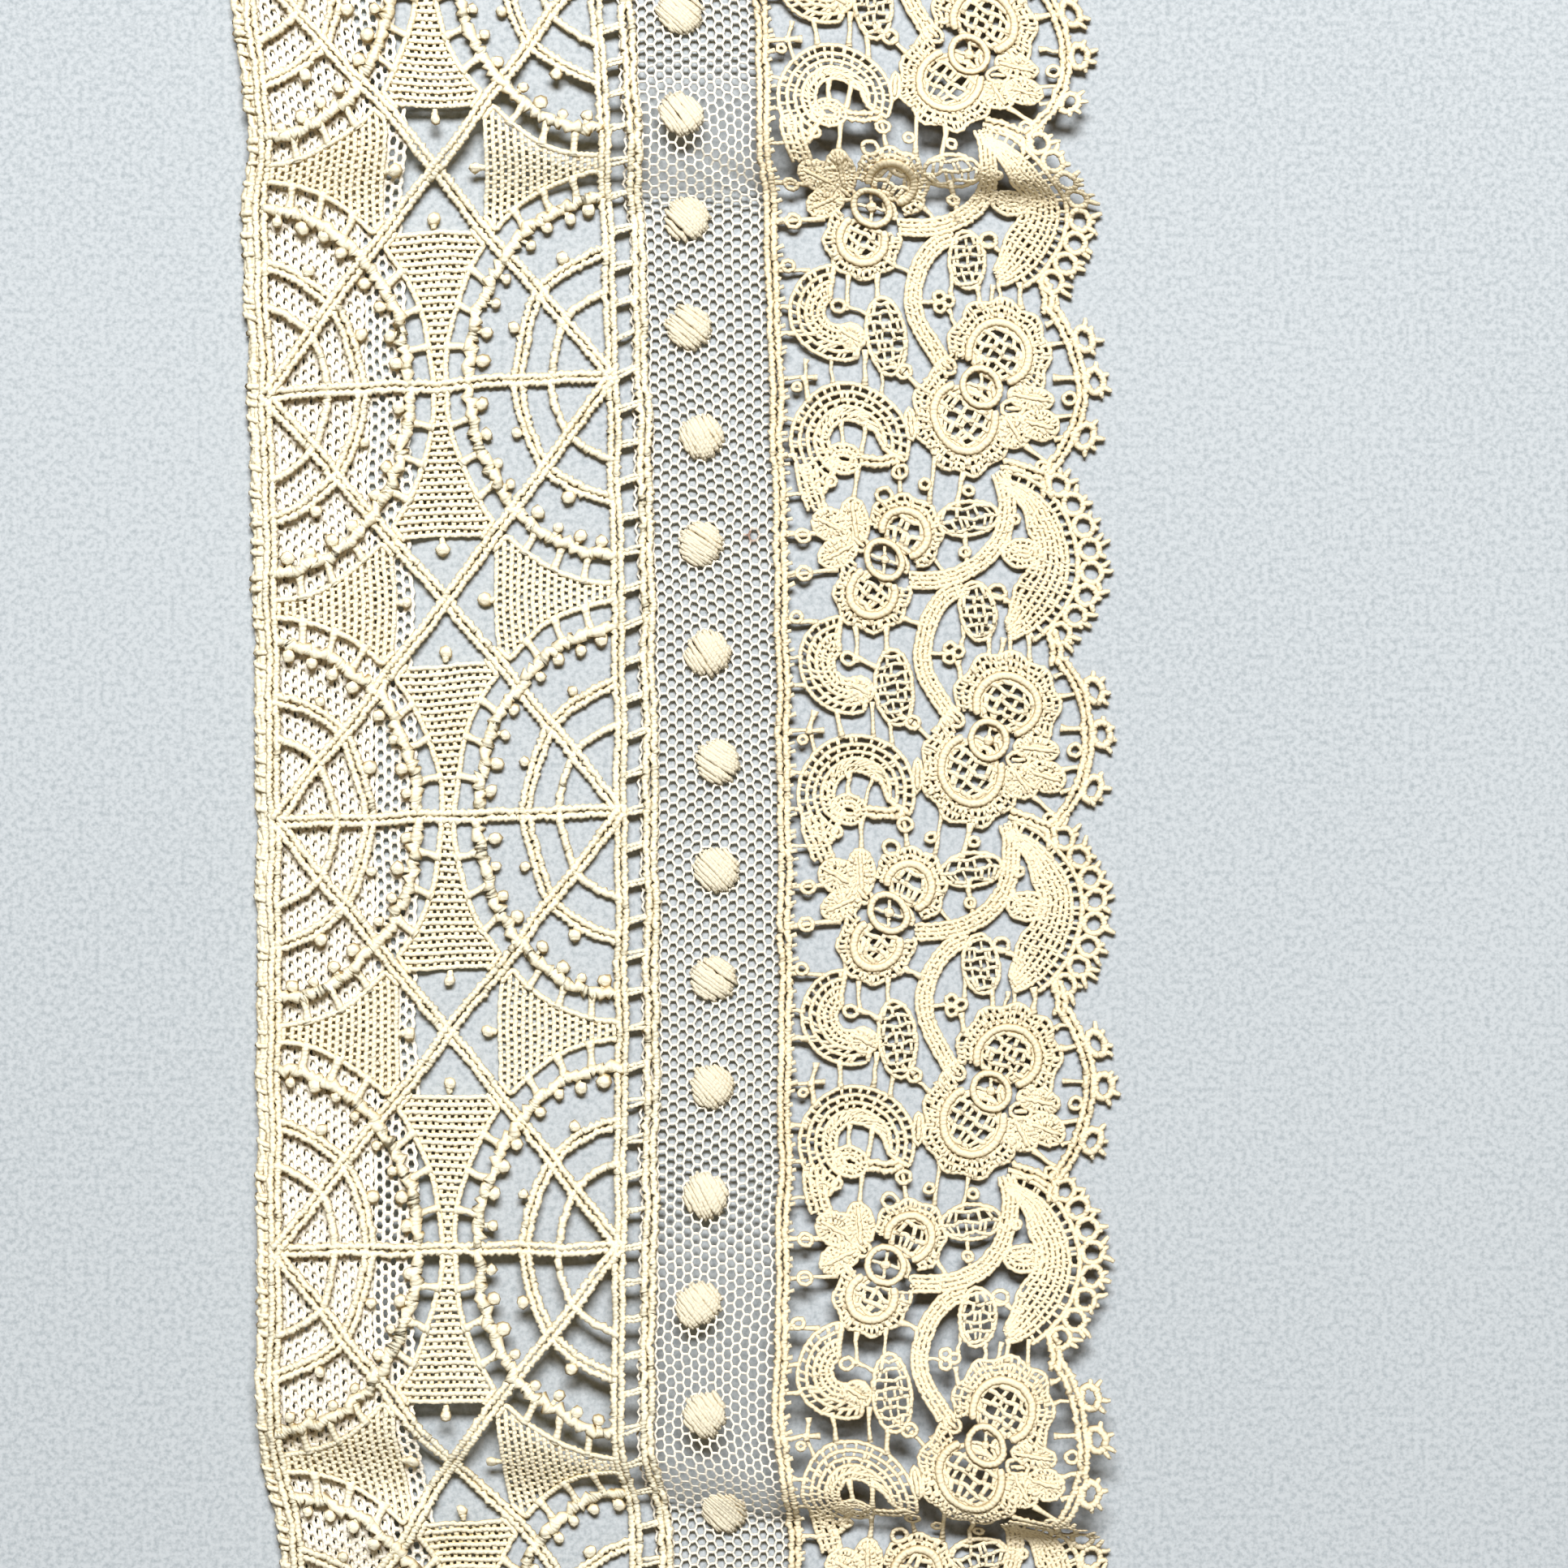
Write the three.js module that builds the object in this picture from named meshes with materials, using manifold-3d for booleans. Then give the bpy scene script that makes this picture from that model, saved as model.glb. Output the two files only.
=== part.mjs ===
// Lace border: a cut length of cotton trimming, four pieces sewn side by side, lying in two low folds.
// Millimetres, +Z up. +Y runs along the border and +X from its hemmed side to its scalloped side.
// Every piece is drawn flat, u across and v along, and then laid in the folds.
import * as THREE from "three";
import { mergeVertices } from "three/addons/utils/BufferGeometryUtils.js";
import manifoldModule from "manifold-3d";

// Centres of the cords that part the bands, measured across from the middle of the border.
const leftCord = -50.5;
const rightCord = -8.0;
const seamCord = -4.3;
const edgingCord = 12.1;

// Thickness of the pieces and the air between two that lap.
const laceThick = 1.2;
const netThick = 1.0;
const lapAir = 0.45;
const foldAir = 0.4;

// Half the width of each kind of cord, and of the strip left along a cut end.
const edgeHalf = 0.95;
const barHalf = 1.1;
const diagonalHalf = 1.05;
const ovalHalf = 1.15;
const endStrip = 1.0;

// Insertion: bars one repeat apart, a half oval round each bar end.
const repeat = 53.1;
const repeats = 4;
const insertionWidth = rightCord - leftCord;
const halfLength = (repeats * repeat) / 2 + barHalf;
const windowAlong = 7.5;
const windowAcross = 6.1;
const windowArch = 0.5;
const rungsPerRepeat = 12;
const rungHalf = 0.4;

// The insertion is sewn in a little aslant: how much its bars lean at most, where that is, and how it fades.
const slantMost = 0.062;
const slantAt = 42;
const slantReach = 52;

// The three rings of gaps in a half oval, outermost first. Each lies between two ovals given by their
// reach across and along from the bar end, and is drawn with so many points on its far and near side.
const ovalRings = [
  { across: 17.2, along: 21.8, half: ovalHalf, far: 4, near: 3 },
  { across: 11.4, along: 15.2, half: 1.0, far: 3, near: 3 },
  { across: 7.4, along: 10.2, half: 0.65, far: 3, near: 1 },
];

// Net band and the satin dots on it.
const netLeft = seamCord - 1.2;
const netRight = edgingCord + 1.0;
const dotRadius = 2.6;
const dotRise = 0.6;
const dotPitch = 13.35;
const dotFirst = 6.8;
const dotAcross = 3.6;

// Net backing: the fold stands out past the insertion, the turn-in ends before the strip does.
const backingLeft = -53.1;
const turnInRight = -39.0;
const backingRight = -33.0;

// Edging: one motif repeat, measured from the centre of a large flower, x from the edging cord and
// y down the border. The flower side of the scallop is one bow and the scroll side another.
const motif = 43.3;
const flowerAt = 9.8;
const edgeWave = 0.12;
const flowerBow = { x: 22.1, y: 0, radius: 16.1, spread: 38 };
const scrollBow = { x: 25.2, y: 21.9, radius: 14.1, spread: 42 };
const valleys = [10.7, 33.0];
const valleyX = 34.0;
const picotTurns = [-19, -2, 21];
const picotReach = 2.8;
const picotHalfTurn = 3.6;
const loopCount = 7;
const loopReach = 1.6;
const loopHalfTurn = 2.4;
const gapSides = 6;

// The larger gaps of one motif repeat: centre, size across and along, and turn in degrees.
const motifGaps = [
  { x: 17.1, y: -4.0, across: 3.0, along: 4.8, turn: 0 },
  { x: 9.0, y: -1.65, across: 3.4, along: 1.9, turn: -15 },
  { x: 5.2, y: -0.9, across: 2.4, along: 1.9, turn: 0 },
  { x: 15.3, y: 0.9, across: 3.4, along: 3.4, turn: 0 },
  { x: 34.8, y: 1.8, across: 1.6, along: 3.4, turn: 0 },
  { x: 16.4, y: 9.4, across: 3.1, along: 5.8, turn: 0 },
  { x: 31.9, y: 9.0, across: 3.5, along: 2.4, turn: 0 },
  { x: 12.0, y: 12.0, across: 3.3, along: 5.0, turn: 30 },
  { x: 7.5, y: 13.0, across: 2.6, along: 3.8, turn: 20 },
  { x: 20.4, y: 12.9, across: 3.3, along: 3.6, turn: 0 },
  { x: 24.2, y: 12.9, across: 3.2, along: 2.6, turn: 0 },
  { x: 3.15, y: 16.2, across: 1.9, along: 4.0, turn: -10 },
  { x: 29.7, y: 16.3, across: 1.7, along: 4.0, turn: 0 },
  { x: 24.3, y: 19.9, across: 2.6, along: 3.2, turn: 35 },
  { x: 3.5, y: 20.4, across: 2.5, along: 2.9, turn: 0 },
  { x: 20.9, y: 20.8, across: 2.4, along: 4.0, turn: 0 },
  { x: 28.2, y: 23.7, across: 4.4, along: 3.6, turn: 0 },
  { x: 4.0, y: 25.8, across: 3.6, along: 5.2, turn: 0 },
  { x: 16.9, y: 26.7, across: 2.2, along: 4.0, turn: 0 },
  { x: 27.6, y: 28.5, across: 2.2, along: 2.8, turn: 0 },
  { x: 20.7, y: 29.1, across: 2.6, along: 5.4, turn: 20 },
  { x: 14.9, y: 31.5, across: 2.8, along: 4.4, turn: 0 },
  { x: 7.8, y: 31.9, across: 2.5, along: 3.0, turn: 0 },
  { x: 11.1, y: 32.1, across: 3.1, along: 2.6, turn: 0 },
  { x: 23.9, y: 32.7, across: 2.5, along: 3.8, turn: 0 },
  { x: 32.6, y: 33.7, across: 2.4, along: 2.0, turn: 0 },
  { x: 9.3, y: 35.2, across: 3.5, along: 1.9, turn: 0 },
  { x: 20.3, y: 35.8, across: 2.7, along: 4.2, turn: 0 },
];

// The two folds that cross the border: where the crest lies, how far it leans per unit across, the length
// of the slope towards the middle and of the one towards the end, the height at either side, and how much
// the width is drawn in there.
const folds = [
  { crest: 83.3, lean: -0.014, inner: 9.5, outer: 15, left: 1.2, right: 5.2, draw: 0.025 },
  { crest: -78.2, lean: -0.124, inner: 46, outer: 10, left: 2.4, right: 5.8, draw: 0.012 },
];
// How far the lower end lies to the right of the rest: between which rows, and by how much at either side.
const drift = { from: 72.5, to: 92.5, left: 4.1, right: 1.2 };
const halfWidth = 53;
const bowRate = 0.000205;
const bowMiddle = -21;
const centreShift = 1.7;
const layStep = 1.0;

// Rows of points along every piece, and the spacing and clearance of the extra ones where the cloth bends.
// Slopes longer than the last length bend too gently to need extra points.
const rows = 72;
const bendPitch = 3.0;
const bendMargin = 0.7;
const gentleSlope = 20;
const sideBow = 0.03;

// Where a lace piece climbs over the net that laps under it: the climb's span and the lift either side.
const oneNet = netThick + lapAir;
const twoNets = 2 * netThick + foldAir + lapAir;
const insertionLifts = [
  { from: -37, to: -27.5, before: twoNets, after: 0 },
  { from: -9.6, to: -6.4, before: 0, after: oneNet },
];
const edgingLifts = [{ from: 13.6, to: 18.5, before: oneNet, after: 0 }];

const laceColour = 0xf1e4c2;
const netColour = 0xf0ece0;

const radians = THREE.MathUtils.degToRad;
const point = (u, v) => new THREE.Vector2(u, v);
const waved = (u, v) => point(u + edgeWave * Math.sin(0.37 * v + u), v);

// Moves a point of the straight insertion along the border to where the slant puts it.
function slanted(p) {
  const lean = slantMost * Math.exp(-(((p.y - slantAt) / slantReach) ** 2));
  return point(p.x, p.y + lean * (p.x - leftCord - insertionWidth / 2));
}

// Points across a cut end, between two sides and clear of both.
function endPoints(from, to, v) {
  const parts = Math.round(Math.abs(to - from) / bendPitch);
  const across = [];
  for (let i = 1; i < parts; i += 1) {
    const u = THREE.MathUtils.lerp(from, to, i / parts);
    across.push(point(u, v + Math.sign(v) * edgeWave * Math.sin(0.8 * u)));
  }
  return across;
}

// Distance of a point from a fold's crest, and the length of the slope that it lies on.
function slopeAt(fold, u, v) {
  const past = v - fold.crest - fold.lean * u;
  const reach = past * Math.sign(fold.crest) > 0 ? fold.outer : fold.inner;
  return { from: Math.abs(past), reach };
}

// Height of a fold at a point, as a share of its crest.
function foldShare(fold, u, v) {
  const { from, reach } = slopeAt(fold, u, v);
  return 0.5 + 0.5 * Math.cos(Math.PI * Math.min(1, from / reach));
}

function bendsSharply(p) {
  return folds.some((fold) => {
    const { from, reach } = slopeAt(fold, p.x, p.y);
    return reach < gentleSlope && from < reach;
  });
}

// Value at a point across the border of what is given for its two sides.
function acrossBorder(sides, u) {
  return THREE.MathUtils.lerp(sides.left, sides.right, (u + halfWidth) / (2 * halfWidth));
}

function foldHeight(u, v) {
  let height = 0;
  for (const fold of folds) {
    height += acrossBorder(fold, u) * foldShare(fold, u, v);
  }
  return height;
}

// Distance along the floor that a length of cloth covers: it shortens where the cloth climbs.
function laidLength(u, v) {
  const steps = Math.ceil(Math.abs(v) / layStep);
  const step = v / Math.max(steps, 1);
  let covered = 0;
  for (let i = 0; i < steps; i += 1) {
    const climb = (foldHeight(u, (i + 1) * step) - foldHeight(u, i * step)) / step;
    covered += step * Math.sqrt(Math.max(0.05, 1 - climb * climb));
  }
  return covered;
}

function lift(lifts, u) {
  let height = lifts.length ? lifts[0].before : 0;
  for (const row of lifts) {
    height += (row.after - row.before) * THREE.MathUtils.clamp((u - row.from) / (row.to - row.from), 0, 1);
  }
  return height;
}

// Moves the points of a flat piece into the folds.
function lay(geometry, lifts) {
  const position = geometry.getAttribute("position");
  for (let i = 0; i < position.count; i += 1) {
    const u = position.getX(i);
    const v = position.getY(i);
    let drawn = 0;
    for (const fold of folds) {
      drawn += fold.draw * foldShare(fold, u, v);
    }
    const drifted = acrossBorder(drift, u) * THREE.MathUtils.smoothstep(-v, drift.from, drift.to);
    const x = u * (1 - drawn) - bowRate * (v - bowMiddle) ** 2 + drifted + centreShift;
    position.setXYZ(i, x, laidLength(u, v), position.getZ(i) + foldHeight(u, v) + lift(lifts, u));
  }
  geometry.computeVertexNormals();
  return geometry;
}

// Twice the signed area of a corner, and whether a fourth point lies in the circle through three.
function turnOf(a, b, c) {
  return (b.x - a.x) * (c.y - a.y) - (b.y - a.y) * (c.x - a.x);
}

function inCircle(a, b, c, d) {
  const rows = [a, b, c].map((p) => [p.x - d.x, p.y - d.y, (p.x - d.x) ** 2 + (p.y - d.y) ** 2]);
  return new THREE.Matrix3().set(...rows[0], ...rows[1], ...rows[2]).determinant() > 1e-6;
}

// Turns the shared sides of a flat triangulation until its triangles are compact.
function compact(points, triangles) {
  let turned = true;
  while (turned) {
    turned = false;
    const sides = new Map();
    const done = new Set();
    triangles.forEach((corners, index) => {
      for (let i = 0; i < 3; i += 1) {
        const far = corners[(i + 2) % 3];
        sides.set(corners[i] + "/" + corners[(i + 1) % 3], { index, far });
      }
    });
    for (const [key, here] of sides) {
      const [a, b] = key.split("/").map(Number);
      const there = sides.get(b + "/" + a);
      if (!there || done.has(here.index) || done.has(there.index)) {
        continue;
      }
      const [pa, pb, pc, pd] = [a, b, here.far, there.far].map((i) => points[i]);
      const convex = turnOf(pa, pd, pc) > 1e-6 && turnOf(pd, pb, pc) > 1e-6;
      if (convex && inCircle(pa, pb, pc, pd)) {
        triangles[here.index] = [a, there.far, here.far];
        triangles[there.index] = [there.far, b, here.far];
        done.add(here.index);
        done.add(there.index);
        turned = true;
      }
    }
  }
  return triangles;
}

function inside(loop, p) {
  let within = false;
  loop.forEach((a, i) => {
    const b = loop[(i + 1) % loop.length];
    const crosses = a.y > p.y !== b.y > p.y;
    if (crosses && p.x < a.x + ((p.y - a.y) / (b.y - a.y)) * (b.x - a.x)) {
      within = !within;
    }
  });
  return within;
}

// Points on the cloth of a plate where it bends in a fold or at a climb, clear of its edges.
function bendPoints(outline, gaps, lifts) {
  const box = new THREE.Box2().setFromPoints(outline);
  const found = [];
  const around = [0, 60, 120, 180, 240, 300].map((turn) => radians(turn));
  for (let v = box.min.y; v < box.max.y; v += bendPitch) {
    for (let u = box.min.x; u < box.max.x; u += bendPitch) {
      const near = around.map((a) => point(u + bendMargin * Math.cos(a), v + bendMargin * Math.sin(a)));
      const onCloth = near.every((p) => inside(outline, p) && !gaps.some((gap) => inside(gap, p)));
      const climbs = lifts.some((row) => Math.min(Math.abs(u - row.from), Math.abs(u - row.to)) < bendPitch);
      if (onCloth && (climbs || bendsSharply(point(u, v)))) {
        found.push(point(u, v));
      }
    }
  }
  return found;
}

// Splits the long sides of a gap where the cloth bends, each side bowed a little.
function splitSides(loop) {
  const split = [];
  loop.forEach((a, i) => {
    const b = loop[(i + 1) % loop.length];
    const parts = bendsSharply(a) || bendsSharply(b) ? Math.ceil(a.distanceTo(b) / bendPitch) : 1;
    for (let j = 0; j < parts; j += 1) {
      const bow = point(b.y - a.y, a.x - b.x).setLength(sideBow * Math.sin((Math.PI * j) / parts));
      split.push(a.clone().lerp(b, j / parts).add(bow));
    }
  });
  return split;
}

// A plate with an outline and gaps through it, drawn with its underside at z = 0 and then laid.
function plate(outline, gaps, lifts) {
  const loops = [[...outline], ...gaps.map(splitSides)];
  loops.forEach((loop, index) => {
    if (THREE.ShapeUtils.isClockWise(loop) === (index === 0)) {
      loop.reverse();
    }
  });
  const points = loops.flat();
  const faces = THREE.ShapeUtils.triangulateShape(loops[0], loops.slice(1)).map(([a, b, c]) =>
    turnOf(points[a], points[b], points[c]) > 0 ? [a, b, c] : [a, c, b],
  );
  for (const extra of bendPoints(outline, gaps, lifts)) {
    const at = faces.findIndex((face) => inside(face.map((i) => points[i]), extra));
    if (at >= 0) {
      const [a, b, c] = faces[at];
      const next = points.push(extra) - 1;
      faces.splice(at, 1, [a, b, next], [b, c, next], [c, a, next]);
    }
  }
  const count = points.length;
  const index = [];
  for (const [a, b, c] of compact(points, faces)) {
    index.push(a + count, b + count, c + count, a, c, b);
  }
  let start = 0;
  for (const loop of loops) {
    for (let i = 0; i < loop.length; i += 1) {
      const a = start + i;
      const b = start + ((i + 1) % loop.length);
      index.push(a, b, b + count, a, b + count, a + count);
    }
    start += loop.length;
  }
  const corners = [...points.map((p) => [p.x, p.y, 0]), ...points.map((p) => [p.x, p.y, laceThick])];
  const geometry = new THREE.BufferGeometry();
  geometry.setAttribute("position", new THREE.Float32BufferAttribute(corners.flat(), 3));
  geometry.setIndex(index);
  return lay(geometry, lifts);
}

// Distance from a bar end to an oval, at an angle from the bar.
function ovalReach(ring, angle) {
  return 1 / Math.hypot(Math.cos(angle) / ring.across, Math.sin(angle) / ring.along);
}

// One gap of a half oval, between two spokes given by their angle from the bar and half their width.
function ovalGap(number, spokeA, spokeB) {
  const ring = ovalRings[number];
  const inner = ovalRings[number + 1];
  const outlinePoints = [];
  const arc = (count, reachAt, backwards) => {
    for (let i = 0; i < count; i += 1) {
      const share = count === 1 ? 0.5 : i / (count - 1);
      const middle = (spokeA.angle + spokeB.angle) / 2;
      const radius = reachAt(middle);
      const from = spokeA.angle + Math.asin(Math.min(1, spokeA.half / radius));
      const to = spokeB.angle - Math.asin(Math.min(1, spokeB.half / radius));
      const angle = THREE.MathUtils.lerp(from, to, backwards ? 1 - share : share);
      outlinePoints.push(point(Math.cos(angle), Math.sin(angle)).multiplyScalar(reachAt(angle)));
    }
  };
  arc(ring.far, (angle) => ovalReach(ring, angle) - ring.half, false);
  if (inner) {
    arc(ring.near, (angle) => ovalReach(inner, angle) + inner.half, true);
  } else {
    const apart = spokeB.angle - spokeA.angle;
    arc(ring.near, () => (spokeA.half + spokeB.half) / 2 / Math.sin(apart / 2) + 0.3, true);
  }
  return outlinePoints;
}

// All gaps of the insertion: the half ovals at every bar end, the windows round every crossing, the ladder.
function insertionGaps() {
  const gaps = [];
  const crossing = Math.atan2(repeat, insertionWidth);
  const spokes = [
    { angle: 0, half: barHalf },
    { angle: crossing, half: diagonalHalf },
    { angle: Math.PI / 2, half: edgeHalf },
  ];
  for (let bar = -repeats / 2; bar <= repeats / 2; bar += 1) {
    for (const side of [1, -1]) {
      for (const way of [1, -1]) {
        if (Math.abs(bar + way * 0.5) > repeats / 2) {
          continue;
        }
        for (let number = 0; number < ovalRings.length; number += 1) {
          for (let sector = 0; sector < 2; sector += 1) {
            const gap = ovalGap(number, spokes[sector], spokes[sector + 1]);
            const cord = side > 0 ? leftCord : rightCord;
            gaps.push(gap.map((p) => point(cord + side * p.x, bar * repeat + way * p.y)));
          }
        }
      }
    }
  }
  const middle = (leftCord + rightCord) / 2;
  for (let number = 0; number < repeats; number += 1) {
    const centre = (number - repeats / 2 + 0.5) * repeat;
    for (const way of [1, -1]) {
      const tipAlong = diagonalHalf / Math.cos(crossing);
      const halfAcross = (windowAlong - tipAlong) / Math.tan(crossing);
      const tipAcross = diagonalHalf / Math.sin(crossing);
      const halfAlong = (windowAcross - tipAcross) * Math.tan(crossing);
      gaps.push([
        point(middle, centre + way * tipAlong),
        point(middle + halfAcross, centre + way * windowAlong),
        point(middle, centre + way * (windowAlong - windowArch)),
        point(middle - halfAcross, centre + way * windowAlong),
      ]);
      gaps.push([
        point(middle + way * tipAcross, centre),
        point(middle + way * windowAcross, centre + halfAlong),
        point(middle + way * (windowAcross - windowArch), centre),
        point(middle + way * windowAcross, centre - halfAlong),
      ]);
    }
  }
  const pitch = repeat / rungsPerRepeat;
  for (let rung = 0; rung < repeats * rungsPerRepeat; rung += 1) {
    const from = rung * pitch - (repeats * repeat) / 2 + rungHalf;
    const to = from + pitch - 2 * rungHalf;
    const left = rightCord + edgeHalf;
    const right = seamCord - edgeHalf;
    gaps.push([point(left, from), point(right, from), point(right, to), point(left, to)]);
  }
  return gaps.map((gap) => gap.map(slanted));
}

function insertionOutline() {
  const left = leftCord - edgeHalf;
  const right = seamCord + edgeHalf;
  const outline = endPoints(left, right, -halfLength);
  for (let i = 0; i <= rows; i += 1) {
    outline.push(waved(right, ((2 * i) / rows - 1) * halfLength));
  }
  outline.push(...endPoints(right, left, halfLength));
  for (let i = rows; i >= 0; i -= 1) {
    outline.push(waved(left, ((2 * i) / rows - 1) * halfLength));
  }
  return outline.map(slanted);
}

// Scalloped side of one motif repeat, as points down the border from its large flower.
function scallop() {
  const side = [];
  const onBow = (bow, turn, past) => {
    const reach = bow.radius + past;
    side.push({ x: bow.x + reach * Math.cos(radians(turn)), y: bow.y + reach * Math.sin(radians(turn)) });
  };
  onBow(flowerBow, -flowerBow.spread, 0);
  for (const turn of picotTurns) {
    onBow(flowerBow, turn - picotHalfTurn, 0);
    onBow(flowerBow, turn - picotHalfTurn / 2, picotReach);
    onBow(flowerBow, turn + picotHalfTurn / 2, picotReach);
    onBow(flowerBow, turn + picotHalfTurn, 0);
  }
  onBow(flowerBow, flowerBow.spread, 0);
  side.push({ x: valleyX, y: valleys[0] });
  for (let i = 0; i < loopCount; i += 1) {
    const turn = scrollBow.spread * ((2 * i) / (loopCount - 1) - 1);
    onBow(scrollBow, turn - loopHalfTurn, loopReach);
    onBow(scrollBow, turn + loopHalfTurn, loopReach);
    if (i < loopCount - 1) {
      onBow(scrollBow, turn + scrollBow.spread / (loopCount - 1), 0);
    }
  }
  side.push({ x: valleyX, y: valleys[1] });
  return side;
}

// Calls with the place of every motif repeat that reaches into the length, from the top end down.
function eachMotif(use) {
  const first = Math.ceil((halfLength + motif - flowerAt) / motif);
  for (let number = first; flowerAt + number * motif > -halfLength - motif; number -= 1) {
    use(flowerAt + number * motif);
  }
}

function edgingOutline() {
  const down = [];
  eachMotif((start) => {
    for (const p of scallop()) {
      if (Math.abs(start - p.y) < halfLength - endStrip) {
        down.push(point(edgingCord + p.x, start - p.y));
      }
    }
  });
  const left = edgingCord - edgeHalf;
  const top = down[0].x;
  const bottom = down.at(-1).x;
  const outline = [...endPoints(left, top, halfLength), point(top, halfLength), ...down];
  outline.push(point(bottom, -halfLength), ...endPoints(bottom, left, -halfLength));
  for (let i = 0; i <= rows; i += 1) {
    outline.push(waved(left, ((2 * i) / rows - 1) * halfLength));
  }
  return outline;
}

function edgingGaps() {
  const gaps = [];
  eachMotif((start) => {
    for (const gap of motifGaps) {
      const centre = start - gap.y;
      if (Math.abs(centre) + gap.along / 2 + endStrip > halfLength) {
        continue;
      }
      const oval = new THREE.EllipseCurve(
        edgingCord + gap.x,
        centre,
        gap.across / 2,
        gap.along / 2,
        0,
        2 * Math.PI,
        false,
        -radians(gap.turn),
      );
      gaps.push(oval.getPoints(gapSides).slice(0, gapSides));
    }
  });
  return gaps;
}

// Closed mesh of a geometry for joining, and the joined mesh as a geometry again.
const wasm = await manifoldModule();
wasm.setup();

function solidOf(geometry) {
  const bare = new THREE.BufferGeometry();
  bare.setAttribute("position", geometry.getAttribute("position"));
  bare.setIndex(geometry.getIndex());
  const joined = mergeVertices(bare, 1e-4);
  const vertProperties = new Float32Array(joined.getAttribute("position").array);
  const triVerts = new Uint32Array(joined.getIndex().array);
  return new wasm.Manifold(new wasm.Mesh({ numProp: 3, vertProperties, triVerts }));
}

function geometryOf(solid) {
  const mesh = solid.getMesh();
  const geometry = new THREE.BufferGeometry();
  geometry.setAttribute("position", new THREE.BufferAttribute(new Float32Array(mesh.vertProperties), 3));
  geometry.setIndex(Array.from(mesh.triVerts));
  geometry.computeVertexNormals();
  return geometry;
}

// Net with its row of dots, each a low dome sunk into the upper face.
function netBand() {
  const width = netRight - netLeft;
  const sheet = new THREE.BoxGeometry(width, 2 * halfLength, netThick, 2, rows, 1);
  sheet.translate((netLeft + netRight) / 2, 0, netThick / 2);
  let solid = solidOf(lay(sheet, []));
  const first = Math.ceil((dotRadius + endStrip - halfLength - dotFirst) / dotPitch);
  for (let i = first; dotFirst + i * dotPitch < halfLength - dotRadius - endStrip; i += 1) {
    const dot = new THREE.SphereGeometry(dotRadius, 10, 6);
    dot.rotateX(Math.PI / 2);
    dot.scale(1, 1, dotRise / dotRadius);
    dot.translate(dotAcross, dotFirst + i * dotPitch, netThick);
    solid = solid.add(solidOf(lay(dot, [])));
  }
  return geometryOf(solid);
}

// Folded net strip: a hairpin section, lower layer longer than the turn-in above it, swept along the border.
function netBacking() {
  const top = 2 * netThick + foldAir;
  const round = top / 2;
  const section = new THREE.Shape();
  section.moveTo(backingRight, 0);
  section.lineTo(backingRight, netThick);
  section.lineTo(backingLeft + round + 0.2, netThick);
  section.lineTo(backingLeft + round + 0.2, netThick + foldAir);
  section.lineTo(turnInRight, netThick + foldAir);
  section.lineTo(turnInRight, top);
  section.absarc(backingLeft + round, round, round, Math.PI / 2, 1.5 * Math.PI, false);
  const sweep = new THREE.ExtrudeGeometry(section, {
    depth: 2 * halfLength,
    steps: rows,
    curveSegments: 3,
    bevelEnabled: false,
  });
  sweep.rotateX(Math.PI / 2);
  sweep.translate(0, halfLength, 0);
  return lay(sweep, []);
}

const lace = new THREE.MeshStandardMaterial({ color: laceColour, roughness: 0.9, metalness: 0 });
const net = new THREE.MeshStandardMaterial({ color: netColour, roughness: 0.85, metalness: 0 });

const border = new THREE.Group();
const addPiece = (name, geometry, material) => {
  const mesh = new THREE.Mesh(geometry, material);
  mesh.name = name;
  border.add(mesh);
};
addPiece("insertion", plate(insertionOutline(), insertionGaps(), insertionLifts), lace);
addPiece("net_backing", netBacking(), net);
addPiece("net_band", netBand(), net);
addPiece("edging", plate(edgingOutline(), edgingGaps(), edgingLifts), lace);

export default border;
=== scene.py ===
import math

import bmesh
import bpy
import numpy as np
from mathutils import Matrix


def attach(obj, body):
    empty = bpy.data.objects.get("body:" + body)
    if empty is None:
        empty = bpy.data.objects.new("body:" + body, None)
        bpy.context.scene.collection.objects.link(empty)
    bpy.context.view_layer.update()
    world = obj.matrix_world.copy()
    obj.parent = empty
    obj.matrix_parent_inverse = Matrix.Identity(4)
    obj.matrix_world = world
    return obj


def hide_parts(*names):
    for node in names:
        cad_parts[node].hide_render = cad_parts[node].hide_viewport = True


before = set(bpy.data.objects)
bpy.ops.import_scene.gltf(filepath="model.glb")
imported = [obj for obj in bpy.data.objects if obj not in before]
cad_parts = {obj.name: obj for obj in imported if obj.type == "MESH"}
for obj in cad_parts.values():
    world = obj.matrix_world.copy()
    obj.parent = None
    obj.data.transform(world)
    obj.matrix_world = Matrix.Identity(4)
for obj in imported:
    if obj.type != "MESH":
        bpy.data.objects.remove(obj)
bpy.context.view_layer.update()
print("frame loaded:", ", ".join(sorted(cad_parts)))

rng = np.random.default_rng(21)

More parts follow.
